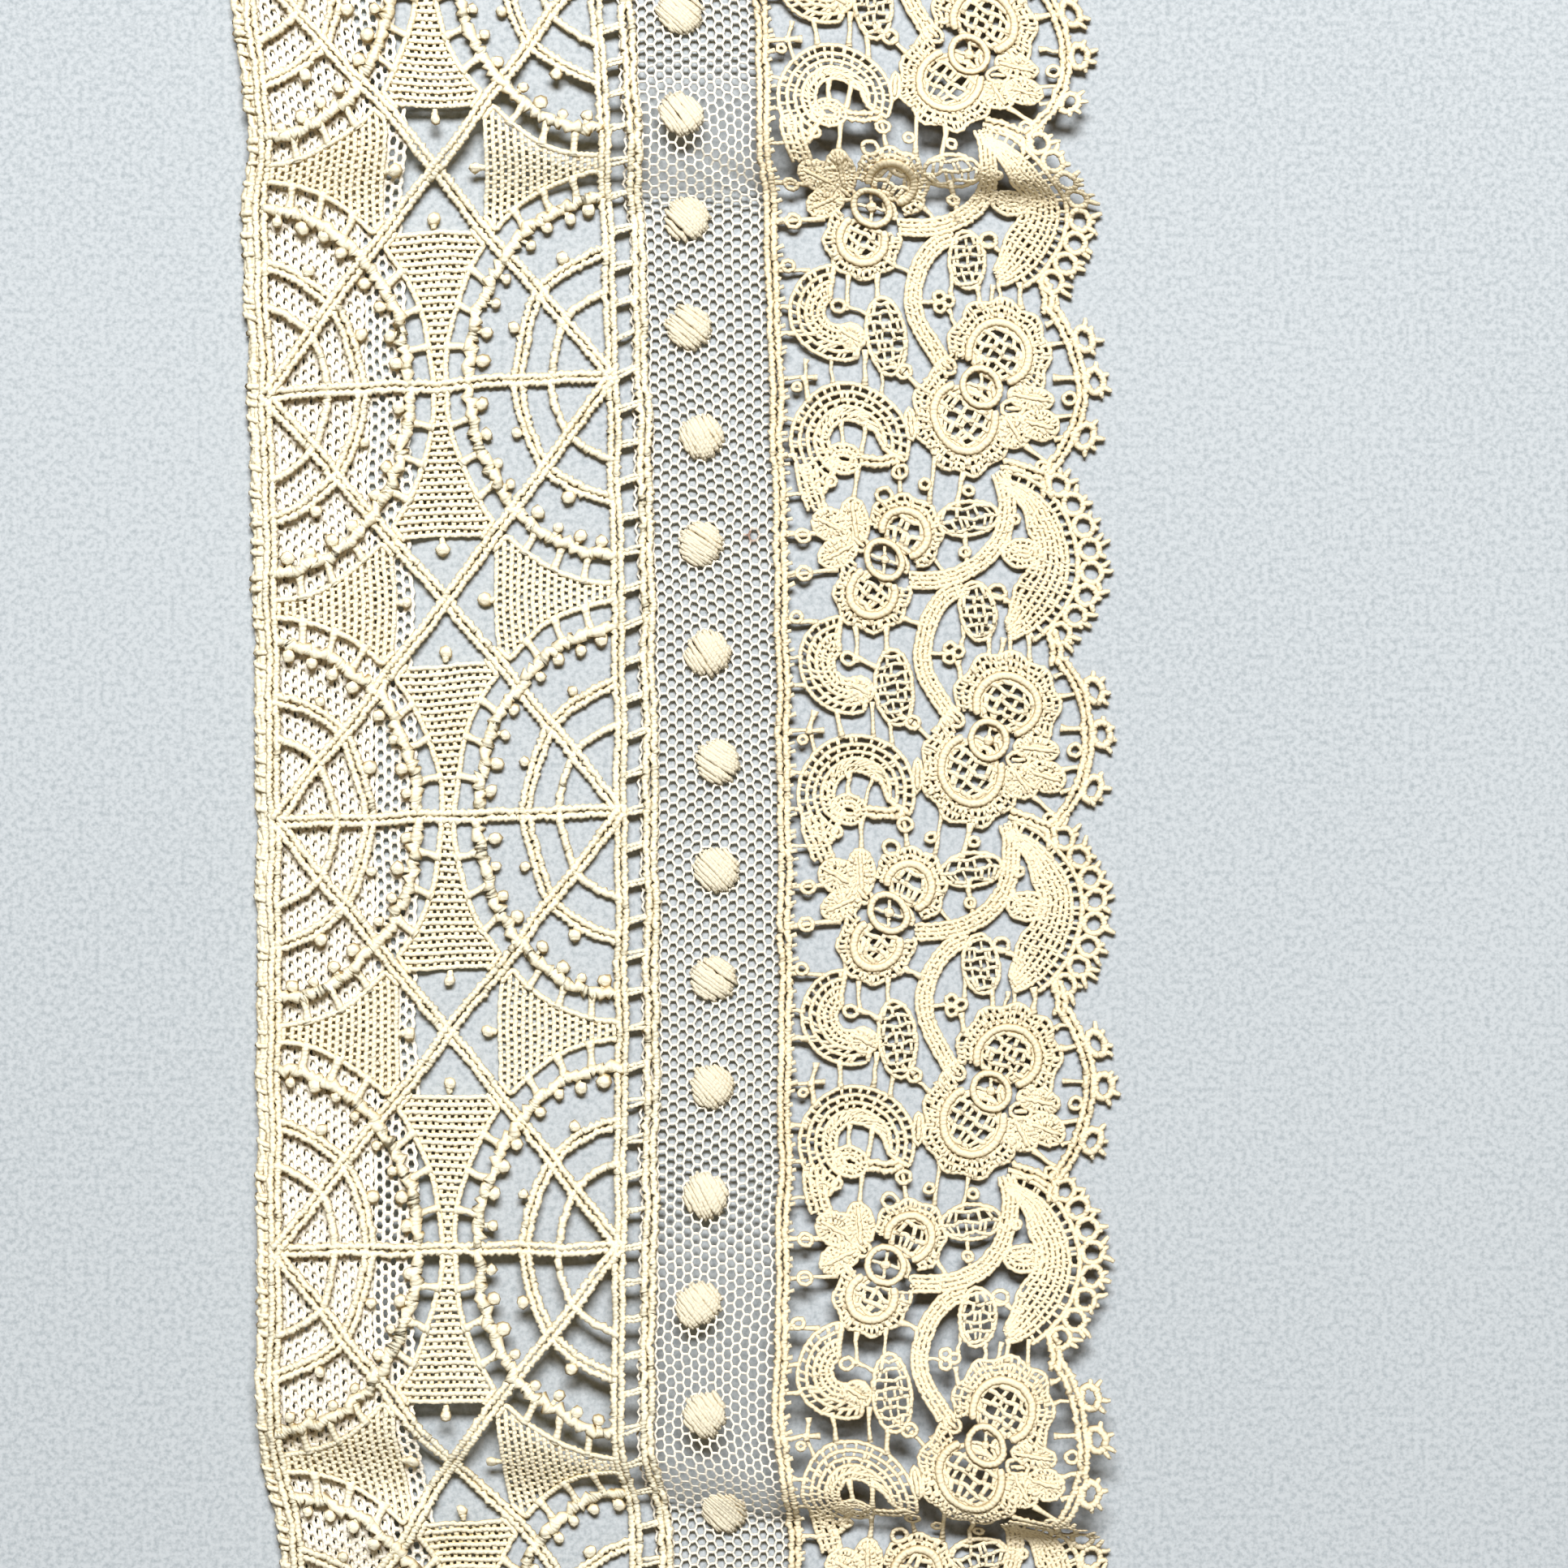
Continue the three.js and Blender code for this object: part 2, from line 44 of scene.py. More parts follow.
# The border lying flat, in millimetres: u across from its middle, v along it.
border = {
    "leftCord": -50.5,
    "rightCord": -8.0,
    "seamCord": -4.3,
    "edgingCord": 12.1,
    "repeat": 53.1,
    "outerBar": 2,
    "halfLength": 107.3,
    "halfWidth": 53.0,
    "bowRate": 0.000205,
    "bowMiddle": -21.0,
    "centreShift": 1.7,
}
slant = {"most": 0.062, "at": 42.0, "reach": 52.0}
folds = [
    {"crest": 83.3, "lean": -0.014, "inner": 9.5, "outer": 15.0, "left": 1.2, "right": 5.2, "draw": 0.025},
    {"crest": -78.2, "lean": -0.124, "inner": 46.0, "outer": 10.0, "left": 2.4, "right": 5.8, "draw": 0.012},
]
lowerEnd = {"from": 72.5, "to": 92.5, "left": 4.1, "right": 1.2}  # drawn to the right between these rows
# Ridges and troughs between two ends, with their rise and their reach up and down the length.
creases = [
    {"start": (-5.0, 86.5), "end": (12.0, 77.0), "rise": -0.9, "up": 1.5, "down": 1.7},
    {"start": (10.0, 84.6), "end": (50.0, 78.6), "rise": 1.7, "up": 6.5, "down": 3.4},
    {"start": (4.0, -84.0), "end": (50.0, -88.5), "rise": 1.4, "up": 6.5, "down": 3.8},
    {"start": (-54.0, -90.0), "end": (-24.0, -86.0), "rise": 1.0, "up": 5.0, "down": 5.0},
]
# Uneven lines everywhere: waves by their length the one way and the other, and where they start.
sway = {
    "size": 0.09,
    "across": [(3.1, 4.7, 0.0), (1.9, -6.3, 1.0)],
    "along": [(2.9, -5.3, 0.0), (1.7, 7.1, 2.0)],
}
oneNet, twoNets = 0.95, 1.8  # height of the lace over one and over two layers of net
insertionLifts = [
    {"from": -41.0, "to": -37.6, "before": twoNets, "after": oneNet},
    {"from": -34.4, "to": -30.6, "before": oneNet, "after": 0.0},
    {"from": -9.6, "to": -6.4, "before": 0.0, "after": oneNet},
]
edgingLifts = [{"from": 13.6, "to": 18.5, "before": oneNet, "after": 0.2}]
restHeight = 0.02  # threads are flattened where they rest
millimetre = 0.001
halfLength = border["halfLength"]
insertionWidth = border["rightCord"] - border["leftCord"]
insertionMiddle = (border["rightCord"] + border["leftCord"]) / 2


# A rounded rise that falls to nothing at its reach.
def hump(past, reach):
    return 0.5 + 0.5 * np.cos(np.pi * np.minimum(1, np.abs(past) / reach))


# Height of a fold as a share of its crest, and of all folds together.
def foldShare(fold, u, v):
    past = v - fold["crest"] - fold["lean"] * u
    return hump(past, np.where(past * np.sign(fold["crest"]) > 0, fold["outer"], fold["inner"]))


def acrossBorder(sides, u):
    share = (u + border["halfWidth"]) / (2 * border["halfWidth"])
    return sides["left"] + (sides["right"] - sides["left"]) * share


def foldHeight(u, v):
    return sum(acrossBorder(fold, u) * foldShare(fold, u, v) for fold in folds)


def creaseHeight(u, v):
    height = 0.0
    for crease in creases:
        (startU, startV), (endU, endV) = crease["start"], crease["end"]
        share = (u - startU) / (endU - startU)
        past = v - startV - (endV - startV) * np.clip(share, 0, 1)
        fade = np.clip(1 - (2 * share - 1) ** 4, 0, 1)
        height = height + crease["rise"] * fade * hump(past, np.where(past > 0, crease["up"], crease["down"]))
    return height


# How far along the floor a length of cloth reaches, kept as a table of u by v.
tableStep, tableU, tableV = 0.25, 56, 112
leastAdvance = 0.05  # square of the least step forward on a steep fold


def reachTable():
    u = np.arange(-tableU, tableU + 1)[:, None]
    v = np.arange(-tableV, tableV + tableStep / 2, tableStep)[None]
    climb = np.diff(foldHeight(u, v), axis=1) / tableStep
    covered = np.cumsum(tableStep * np.sqrt(np.maximum(leastAdvance, 1 - climb**2)), axis=1)
    covered = np.concatenate([np.zeros((len(u), 1)), covered], axis=1)
    middle = int(tableV / tableStep)
    return covered - covered[:, middle:middle + 1]


laidReach = reachTable()
lastCell = np.array(laidReach.shape) - 1.001  # just inside the table's last row and column


def laidLength(u, v):
    across = np.clip(u + tableU, 0, lastCell[0])
    along = np.clip((v + tableV) / tableStep, 0, lastCell[1])
    i, j = across.astype(int), along.astype(int)
    p, q = across - i, along - j
    near = laidReach[i, j] * (1 - q) + laidReach[i, j + 1] * q
    far = laidReach[i + 1, j] * (1 - q) + laidReach[i + 1, j + 1] * q
    return near * (1 - p) + far * p


def swayed(a, b, waves):
    return sway["size"] * sum(np.sin(a / lengthA + b / lengthB + start) for lengthA, lengthB, start in waves)


# Puts flat points on the folds, in metres.
def layPoints(flat, lifts, leaning):
    u, v, z = flat.T
    u = u + swayed(v, u, sway["across"])
    v = v + swayed(u, v, sway["along"])
    if leaning:
        v = v + slant["most"] * (u - insertionMiddle) * np.exp(-(((v - slant["at"]) / slant["reach"]) ** 2))
    lift = lifts[0]["before"] if lifts else 0.0
    for row in lifts:
        share = np.clip((u - row["from"]) / (row["to"] - row["from"]), 0, 1)
        lift = lift + (row["after"] - row["before"]) * share
    drawn = sum(fold["draw"] * foldShare(fold, u, v) for fold in folds)
    past = np.clip((-v - lowerEnd["from"]) / (lowerEnd["to"] - lowerEnd["from"]), 0, 1)
    x = u * (1 - drawn) - border["bowRate"] * (v - border["bowMiddle"]) ** 2 + border["centreShift"]
    x = x + acrossBorder(lowerEnd, u) * past**2 * (3 - 2 * past)
    z = np.maximum(z + foldHeight(u, v) + creaseHeight(u, v) + lift, restHeight)
    return np.stack([x, laidLength(u, v), z], axis=1) * millimetre


# Threads are gathered as arrays and joined to one mesh a piece. The bake map lays them in lines,
# side by side, with room at their ends and sides in radii of the thread.
bakeRoom = {"line": 230.0, "ends": 5.0, "side": 2.0, "body": 2.3, "farCap": 2.6, "capSize": 0.95}
capFaces = {4: [[0, 1, 2, 3]], 6: [[0, 1, 2, 3], [0, 3, 4, 5]], 8: [[0, 1, 2, 3], [0, 3, 4, 7], [4, 5, 6, 7]]}
leastSide = 0.02  # a thread that stands nearly upright takes x as its side


def newThreads():
    return {"points": [], "faces": [], "thread": [], "bake": [], "count": 0, "x": 0.0, "y": 0.0, "line": 0.0}


def bakePlaces(threads, widths, heights):
    places = np.zeros((len(widths), 2))
    for k, (width, height) in enumerate(zip(widths, heights)):
        if threads["x"] + width > bakeRoom["line"]:
            threads["x"], threads["y"], threads["line"] = 0.0, threads["y"] + threads["line"], 0.0
        places[k] = threads["x"], threads["y"]
        threads["x"] += width
        threads["line"] = max(threads["line"], height)
    return places


def addFaces(threads, faces, threadMap, bakeMap):
    threads["faces"].append(faces.reshape(-1, 4))
    threads["thread"].append(threadMap.reshape(-1, 4, 2))
    threads["bake"].append(bakeMap.reshape(-1, 4, 2))


def tubePoints(paths, radius, turn, squash, closed):
    if closed:
        run = np.roll(paths, -1, 1) - np.roll(paths, 1, 1)
    else:
        run = np.gradient(paths, axis=1)
    run = run / np.maximum(np.linalg.norm(run, axis=2, keepdims=True), 1e-9)
    side = np.stack([run[..., 1], -run[..., 0], np.zeros_like(run[..., 0])], -1)
    width = np.linalg.norm(side, axis=2, keepdims=True)
    side = np.where(width > leastSide, side / np.maximum(width, leastSide), np.array([1.0, 0.0, 0.0]))
    up = np.cross(side, run)
    ring = np.cos(turn)[:, None] * side[..., None, :] + squash * np.sin(turn)[:, None] * up[..., None, :]
    return (paths[..., None, :] + radius[..., None, None] * ring).reshape(-1, 3)


def addTubes(threads, paths, radius, sides=6, squash=1.0, closed=False):
    paths = np.asarray(paths, float)
    paths = paths[None] if paths.ndim == 2 else paths
    amount, rings = paths.shape[:2]
    radius = np.broadcast_to(radius, (amount, rings))
    turn = 2 * np.pi * (np.arange(sides) + 0.5) / sides
    points = tubePoints(paths, radius, turn, squash, closed)
    index = np.arange(len(points)).reshape(amount, rings, sides) + threads["count"]
    here, ahead = (index, np.roll(index, -1, 1)) if closed else (index[:, :-1], index[:, 1:])
    body = np.stack([here, ahead, np.roll(ahead, -1, 2), np.roll(here, -1, 2)], -1)

    # Length along the thread and turn round it, at the four corners of every face.
    steps = np.linalg.norm(np.roll(paths, -1, 1) - paths, axis=2)
    along = np.concatenate([np.zeros((amount, 1)), np.cumsum(steps, axis=1)], axis=1)
    segments = rings if closed else rings - 1
    total = along[:, segments]
    start, stop = along[:, :segments, None], along[:, 1:segments + 1, None]
    corner = np.arange(sides)[None, None]
    ones = np.ones_like(start * corner)
    lengthwise = np.stack([start * ones, stop * ones, stop * ones, start * ones], -1)
    around = np.stack([corner * ones, corner * ones, (corner + 1) * ones, (corner + 1) * ones], -1)

    thick = radius.mean(axis=1)
    facet = 2 * np.pi * thick / sides
    place = bakePlaces(threads, total + bakeRoom["ends"] * thick, facet * sides + bakeRoom["side"] * thick)
    bakeMap = np.stack([
        lengthwise + (place[:, 0] + bakeRoom["body"] * thick)[:, None, None, None],
        around * facet[:, None, None, None] + place[:, 1][:, None, None, None],
    ], -1)
    addFaces(threads, body, np.stack([lengthwise, (around + 0.5) / sides], -1), bakeMap)
    if not closed:
        quads = np.array(capFaces[sides])
        for ringIndex, order, far in ((0, quads, 0.0), (-1, quads[:, ::-1], 1.0)):
            faces = index[:, ringIndex][:, order]
            flat = np.broadcast_to(np.stack([np.cos(turn), np.sin(turn)], -1)[order], faces.shape + (2,))
            spot = place + np.stack([thick + far * (total + bakeRoom["farCap"] * thick), thick], -1)
            bakeCap = flat * thick[:, None, None, None] * bakeRoom["capSize"] + spot[:, None, None, :]
            rim = np.stack([far + 0 * turn, (np.arange(sides) + 0.5) / sides], -1)
            addFaces(threads, faces, np.broadcast_to(rim[order], faces.shape + (2,)), bakeCap)
    threads["points"].append(points)
    threads["count"] += len(points)


# A round knot, repeated: a cube cut once each way and rounded, so all its faces have four corners.
knotLook = {"sizes": (0.8, 1.12), "bumps": (0.8, 1.16), "flatness": 0.8}
knotCells = {"size": 0.8, "fill": 0.9, "perLine": 12}  # its faces on the bake map, in radii of the knot


def knotTemplate():
    mesh = bmesh.new()
    bmesh.ops.create_cube(mesh, size=1.0)
    bmesh.ops.subdivide_edges(mesh, edges=mesh.edges[:], cuts=1, use_grid_fill=True)
    for vert in mesh.verts:
        vert.co.normalize()
    mesh.verts.index_update()
    points = np.array([vert.co[:] for vert in mesh.verts])
    faces = np.array([[vert.index for vert in face.verts] for face in mesh.faces])
    mesh.free()
    return points, faces


knotPoints, knotFaces = knotTemplate()


def addKnots(threads, centres, radius):
    centres = np.asarray(centres, float).reshape(-1, 3)
    amount, corners = len(centres), len(knotPoints)
    size = radius * rng.uniform(*knotLook["sizes"], (amount, 1, 1))
    size = size * rng.uniform(*knotLook["bumps"], (amount, corners, 1))
    points = centres[:, None] + size * knotPoints * np.array([1, 1, knotLook["flatness"]])
    faces = knotFaces[None] + (np.arange(amount) * corners)[:, None, None] + threads["count"]
    spin = np.arctan2(knotPoints[:, 1], knotPoints[:, 0]) / np.pi
    own = np.stack([spin, 0.25 + 0.25 * (1 - knotPoints[:, 2])], -1)[knotFaces]
    cell, perLine = knotCells["size"] * radius, knotCells["perLine"]
    wide, high = (perLine + 0.5) * cell, (len(knotFaces) / perLine + 0.5) * cell
    place = bakePlaces(threads, np.full(amount, wide), np.full(amount, high))
    number = np.arange(len(knotFaces))
    square = np.array([[0, 0], [1, 0], [1, 1], [0, 1]]) * knotCells["fill"]
    spots = np.stack([number % perLine, number // perLine], -1)[:, None] + square
    threads["points"].append(points.reshape(-1, 3))
    threads["count"] += amount * corners
    threadMap = np.broadcast_to(own, (amount,) + own.shape)
    addFaces(threads, faces, threadMap, spots[None] * cell + place[:, None, None])


# Points spaced evenly along a path, and a path moved sideways.
def evenly(path, count):
    path = np.asarray(path, float)
    reach = np.concatenate([[0], np.cumsum(np.linalg.norm(np.diff(path, axis=0), axis=1))])
    at = np.linspace(0, reach[-1], count)
    return np.stack([np.interp(at, reach, column) for column in path.T], 1)


def lengthOf(path):
    return np.linalg.norm(np.diff(np.asarray(path, float), axis=0), axis=1).sum()


def beside(path, distance):
    run = np.gradient(np.asarray(path, float)[:, :2], axis=0)
    run /= np.maximum(np.linalg.norm(run, axis=1, keepdims=True), 1e-9)
    moved = np.array(path, float)
    moved[:, :2] += distance * np.stack([-run[:, 1], run[:, 0]], 1)
    return moved


# A smooth path through a few points.
def curveThrough(points, steps=8):
    points = np.asarray(points, float)
    padded = np.concatenate([[2 * points[0] - points[1]], points, [2 * points[-1] - points[-2]]])
    t = np.linspace(0, 1, steps, endpoint=False)[:, None]
    made = []
    for a, b, c, d in zip(padded[:-3], padded[1:-2], padded[2:-1], padded[3:]):
        square, cube = 2 * a - 5 * b + 4 * c - d, 3 * b - a - 3 * c + d
        made.append(0.5 * (2 * b + (c - a) * t + square * t**2 + cube * t**3))
    return np.concatenate(made + [points[-1:]])


# One row of stitches: a thread that swells at every stitch. What passes the cut ends is left off.
plainRow = {"sides": 6, "squash": 1.0, "loose": 0.11, "swell": (0.94, 1.06), "clear": 0.6, "taper": 0.7}


def addRow(threads, path, look, closed=False, late=0):
    look = {**plainRow, **look}
    path = np.asarray(path, float)
    if path.shape[1] == 2:
        path = np.column_stack([path, np.full(len(path), look["height"])])
    if closed:
        path = np.concatenate([path, path[:1]])
    stitches = max(4 if closed else 2, round(lengthOf(path) / look["pitch"]))
    path = evenly(path, 2 * stitches + 1)
    count = len(path)
    radius = look["radius"] * np.where((np.arange(count) + late) % 2 == 0, 1.0, 1 - look["dip"])
    radius = radius * rng.uniform(*look["swell"], count)
    path = path + rng.normal(0, look["radius"] * look["loose"], path.shape)
    inside = np.abs(path[:, 1]) < halfLength - look["clear"] * look["radius"]
    if closed and inside.all():
        addTubes(threads, path[:-1], radius[:-1], look["sides"], look["squash"], closed=True)
        return
    edges = np.flatnonzero(np.diff(np.concatenate([[0], inside.astype(int), [0]])))
    for first, last in zip(edges[::2], edges[1::2]):
        if last - first > 2:
            run = radius[first:last].copy()
            run[[0, -1]] *= look["taper"]
            addTubes(threads, path[first:last], run, look["sides"], look["squash"])


# Two rows side by side.
cordStep = 0.6


def addCord(threads, path, look):
    path = evenly(path, max(3, int(lengthOf(path) / cordStep)))
    for late, way in enumerate((-1, 1)):
        addRow(threads, beside(path, way * look["spread"]), look, late=late)


# Short stitches from one row to the next.
plainJoin = {
    "sides": 4, "rise": 0.05, "slip": 0.33, "slack": 0.06, "wave": 0.03, "waist": 0.85, "sizes": (0.75, 1.25),
}
joinClear, joinSteps = 0.5, 200


def addJoins(threads, pathA, pathB, look, shift=0.5):
    count = max(1, round(lengthOf(pathA) / look["pitch"]))
    share = (np.arange(count) + shift + rng.uniform(-plainJoin["slip"], plainJoin["slip"], count)) / count
    share = share[(share > 0) & (share < 1)]
    spots = np.clip((share * (joinSteps - 1)).round().astype(int), 0, joinSteps - 1)
    a, b = evenly(pathA, joinSteps)[spots, :2], evenly(pathB, joinSteps)[spots, :2]
    inside = np.maximum(np.abs(a[:, 1]), np.abs(b[:, 1])) < halfLength - joinClear
    if inside.any():
        addStitches(threads, a[inside], b[inside], look)


def addStitches(threads, a, b, look):
    look = {**plainJoin, **look}
    slack = rng.normal(0, look["slack"], (2, len(a), 2))
    a, b = a + slack[0], b + slack[1]
    height = look["height"] + rng.normal(0, look["wave"], (len(a), 3))
    height[:, 1] += look["rise"]
    paths = np.concatenate([np.stack([a, (a + b) / 2, b], 1), height[..., None]], -1)
    swell = np.array([1.0, look["waist"], 1.0]) * look["radius"]
    addTubes(threads, paths, swell * rng.uniform(*look["sizes"], (len(a), 1)), look["sides"])


# A bride: a bar that widens into what it joins at both ends.
brideForm = {
    "swell": [1.55, 1.1, 0.9, 1.1, 1.55], "sizes": (0.9, 1.1), "loose": 0.07, "squash": 0.8, "clear": 0.8,
}


def addBride(threads, a, b, look):
    ends = np.array([a, b], float)
    if np.abs(ends[:, 1]).max() < halfLength - brideForm["clear"]:
        count = len(brideForm["swell"])
        path = evenly(ends, count) + rng.normal(0, brideForm["loose"], (count, 2))
        radius = look["radius"] * np.array(brideForm["swell"]) * rng.uniform(*brideForm["sizes"], count)
        path = np.column_stack([path, np.full(count, look["height"])])
        addTubes(threads, path, radius, squash=brideForm["squash"])


# Close cloth: rows with ribs from each to the next, which leave small pits.
ribShifts = (0.3, 0.7)


def addCloth(threads, paths, row, rib, closed=False):
    for path in paths:
        addRow(threads, path, row, closed)
    for number, (path, after) in enumerate(zip(paths[:-1], paths[1:])):
        addJoins(threads, path, after, rib, ribShifts[number % 2])


# The mesh of a finished piece, laid on the folds.
def finishPiece(name, threads, material, node, slotName, lifts=(), leaning=False):
    points = layPoints(np.concatenate(threads["points"]), lifts, leaning)
    faces = np.concatenate(threads["faces"])
    mesh = bpy.data.meshes.new(name)
    mesh.vertices.add(len(points))
    mesh.vertices.foreach_set("co", points.astype(np.float32).ravel())
    mesh.loops.add(faces.size)
    mesh.loops.foreach_set("vertex_index", faces.astype(np.int32).ravel())
    mesh.polygons.add(len(faces))
    mesh.polygons.foreach_set("loop_start", np.arange(0, faces.size, 4, dtype=np.int32))
    mesh.polygons.foreach_set("use_smooth", np.ones(len(faces), dtype=bool))
    mesh.update(calc_edges=True)
    threadMap = np.concatenate(threads["thread"])
    bakeMap = np.concatenate(threads["bake"]) / np.array([bakeRoom["line"], threads["y"] + threads["line"]])
    for mapName, corners in (("thread", threadMap), ("OFBake", bakeMap)):
        layer = mesh.uv_layers.new(name=mapName)
        layer.data.foreach_set("uv", corners.astype(np.float32).ravel())
    piece = bpy.data.objects.new(name, mesh)
    bpy.context.scene.collection.objects.link(piece)
    mesh.materials.append(material)
    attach(piece, "root")
    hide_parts(node)
    print(f"{name}: {2 * len(faces)} triangles")
    return piece


# A socket that takes part in plain expressions.
class Shade:
    def __init__(self, tree, socket=None):
        self.tree = tree
        self.socket = socket

    def make(self, kind, settings, inputs, output=0):
        node = self.tree.nodes.new(kind)
        for name, value in settings.items():
            setattr(node, name, value)
        for name, value in inputs.items():
            if isinstance(value, Shade):
                self.tree.links.new(value.socket, node.inputs[name])
            else:
                node.inputs[name].default_value = value
        return Shade(self.tree, node.outputs[output])

    def maths(self, operation, other=0.0, swapped=False):
        pair = (other, self) if swapped else (self, other)
        return self.make("ShaderNodeMath", {"operation": operation}, dict(enumerate(pair)))

    def __add__(self, other):
        return self.maths("ADD", other)

    def __sub__(self, other):
        return self.maths("SUBTRACT", other)

    def __rsub__(self, other):
        return self.maths("SUBTRACT", other, swapped=True)

    def __mul__(self, other):
        return self.maths("MULTIPLY", other)

    __radd__ = __add__
    __rmul__ = __mul__

    def clamped(self, most=1.0):
        return self.maths("MINIMUM", most).maths("MAXIMUM", 0.0)

    def noise(self, scale, detail, **others):
        inputs = {"Vector": self, "Scale": scale, "Detail": detail, **others}
        return self.make("ShaderNodeTexNoise", {}, inputs, output="Fac")

    def mixColour(self, low, high):
        return self.make("ShaderNodeMix", {"data_type": "RGBA"}, {0: self, 6: low, 7: high}, output=2)


# A new material with its shader and the place of each point on the object.
def startMaterial(name):
    material = bpy.data.materials.new(name)
    material.use_nodes = True
    tree = material.node_tree
    place = Shade(tree).make("ShaderNodeTexCoord", {}, {}, output="Object")
    return material, tree, tree.nodes["Principled BSDF"], place


# Spun cotton: plies that wind round every thread, in uneven tones, with painted shade on the sides and under
# side of each thread and a painted highlight along its top.
cotton = {
    "patches": 95.0, "fibres": 3200.0, "patchTone": 0.7, "fibreTone": 0.45, "toneStart": 0.1,
    "paintedShadeDrift": 0.5, "paintedHighlightReach": 3.0, "paintedHighlightStart": 2.1, "paintedHighlightMost": 0.7, "roughDrift": 0.12,
    "plyRelief": 0.6, "fibreRelief": 0.8, "reliefDepth": 0.00012, "sheenRoughness": 0.5, "specular": 0.25,
}


def cottonMaterial(name, look):
    material, tree, shader, place = startMaterial(name)
    patches, fibres = place.noise(cotton["patches"], 1.0), place.noise(cotton["fibres"], 1.0)
    strand = place.make("ShaderNodeUVMap", {"uv_map": "thread"}, {})
    along = place.make("ShaderNodeSeparateXYZ", {}, {0: strand}, output=0)
    around = place.make("ShaderNodeSeparateXYZ", {}, {0: strand}, output=1) * (2 * math.pi)
    plies = 0.5 + 0.5 * (along * (2 * math.pi / look["plyPitch"]) + around).maths("SINE")
    # How far each point faces up round its thread; this sets the painted shade and the painted highlight
    # below.
    upward = 0.5 + 0.5 * around.maths("SINE")
    shadeDrift = (patches - 0.5) * cotton["paintedShadeDrift"]
    # Painted shade: each thread's sides and under side take the dark shade colour, as if in shadow.
    lit = (upward * look["paintedShadeReach"] - look["paintedShadeStart"] + shadeDrift).clamped()
    tone = patches * cotton["patchTone"] + fibres * cotton["fibreTone"] - cotton["toneStart"]
    crest = upward * cotton["paintedHighlightReach"] - cotton["paintedHighlightStart"]  # painted highlight, palest along the top of each thread
    crest = crest.clamped(cotton["paintedHighlightMost"])
    thread = crest.mixColour(tone.maths("MINIMUM", 1.0).mixColour(look["deep"], look["pale"]), look["crest"])
    colour = lit.mixColour(look["paintedShade"], thread)
    if "stain" in look:
        stain = look["stain"]
        flat = place.make("ShaderNodeVectorMath", {"operation": "MULTIPLY"}, {0: place, 1: (1.0, 1.0, 0.0)})
        ends = {0: flat, 1: stain["at"]}
        away = place.make("ShaderNodeVectorMath", {"operation": "DISTANCE"}, ends, output="Value")
        soiled = stain["reach"] - away * (1 / stain["radius"]) + (fibres - 0.5)
        colour = soiled.clamped(stain["most"]).mixColour(colour, stain["colour"])
    tree.links.new(colour.socket, shader.inputs["Base Color"])
    rough = look["roughness"] + cotton["roughDrift"] * (fibres - 0.5)
    tree.links.new(rough.socket, shader.inputs["Roughness"])
    relief = plies * cotton["plyRelief"] + fibres * cotton["fibreRelief"]
    bumps = {"Strength": look["relief"], "Distance": cotton["reliefDepth"], "Height": relief}
    tree.links.new(place.make("ShaderNodeBump", {}, bumps).socket, shader.inputs["Normal"])
    shader.inputs["Sheen Weight"].default_value = look["sheen"]
    shader.inputs["Sheen Roughness"].default_value = cotton["sheenRoughness"]
    shader.inputs["Specular IOR Level"].default_value = cotton["specular"]
    return material


# Each set: crest is a painted highlight for the tops of threads, pale and deep are tones mixed at random, and
# the darkest colour is painted shade for the sides and under sides.
insertionShades = {
    "crest": (0.925, 0.89, 0.74, 1), "pale": (0.885, 0.85, 0.66, 1),
    "deep": (0.82, 0.765, 0.48, 1), "paintedShade": (0.45, 0.3, 0.1, 1), "paintedShadeReach": 2.6, "paintedShadeStart": 1.45,
    "plyPitch": 0.55, "roughness": 0.72, "relief": 0.7, "sheen": 0.12,
}
fanShades = dict(insertionShades, deep=(0.88, 0.785, 0.5, 1), paintedShade=(0.78, 0.6, 0.28, 1))
edgingShades = dict(
    insertionShades, crest=(0.94, 0.865, 0.675, 1), pale=(0.89, 0.79, 0.55, 1),
    deep=(0.785, 0.665, 0.345, 1), paintedShade=(0.28, 0.16, 0.04, 1))
dotShades = dict(
    edgingShades, crest=(0.8, 0.765, 0.635, 1), pale=(0.775, 0.735, 0.585, 1),
    deep=(0.73, 0.66, 0.44, 1), paintedShade=(0.46, 0.33, 0.16, 1))
backingShades = {
    "crest": (0.965, 0.95, 0.875, 1), "pale": (0.95, 0.925, 0.83, 1),
    "deep": (0.915, 0.865, 0.72, 1), "paintedShade": (0.82, 0.74, 0.52, 1), "paintedShadeReach": 2.6, "paintedShadeStart": 0.9,
    "plyPitch": 0.5, "roughness": 0.75, "relief": 0.4, "sheen": 0.12,
}
bandStain = {
    "at": (0.0097, 0.0346, 0.0), "radius": 0.0008, "reach": 1.5, "most": 0.85,
    "colour": (0.26, 0.12, 0.075, 1),
}
bandShades = dict(
    backingShades, pale=(0.93, 0.89, 0.77, 1), deep=(0.885, 0.82, 0.64, 1),
    paintedShade=(0.45, 0.33, 0.15, 1), paintedShadeStart=1.1, stain=bandStain)
insertionCotton = cottonMaterial("insertion_cotton", insertionShades)
fanCotton = cottonMaterial("fan_cotton", fanShades)
edgingCotton = cottonMaterial("edging_cotton", edgingShades)
dotCotton = cottonMaterial("dot_cotton", dotShades)
netCotton = cottonMaterial("net_cotton", bandShades)
backingCotton = cottonMaterial("backing_cotton", backingShades)
print("materials made")


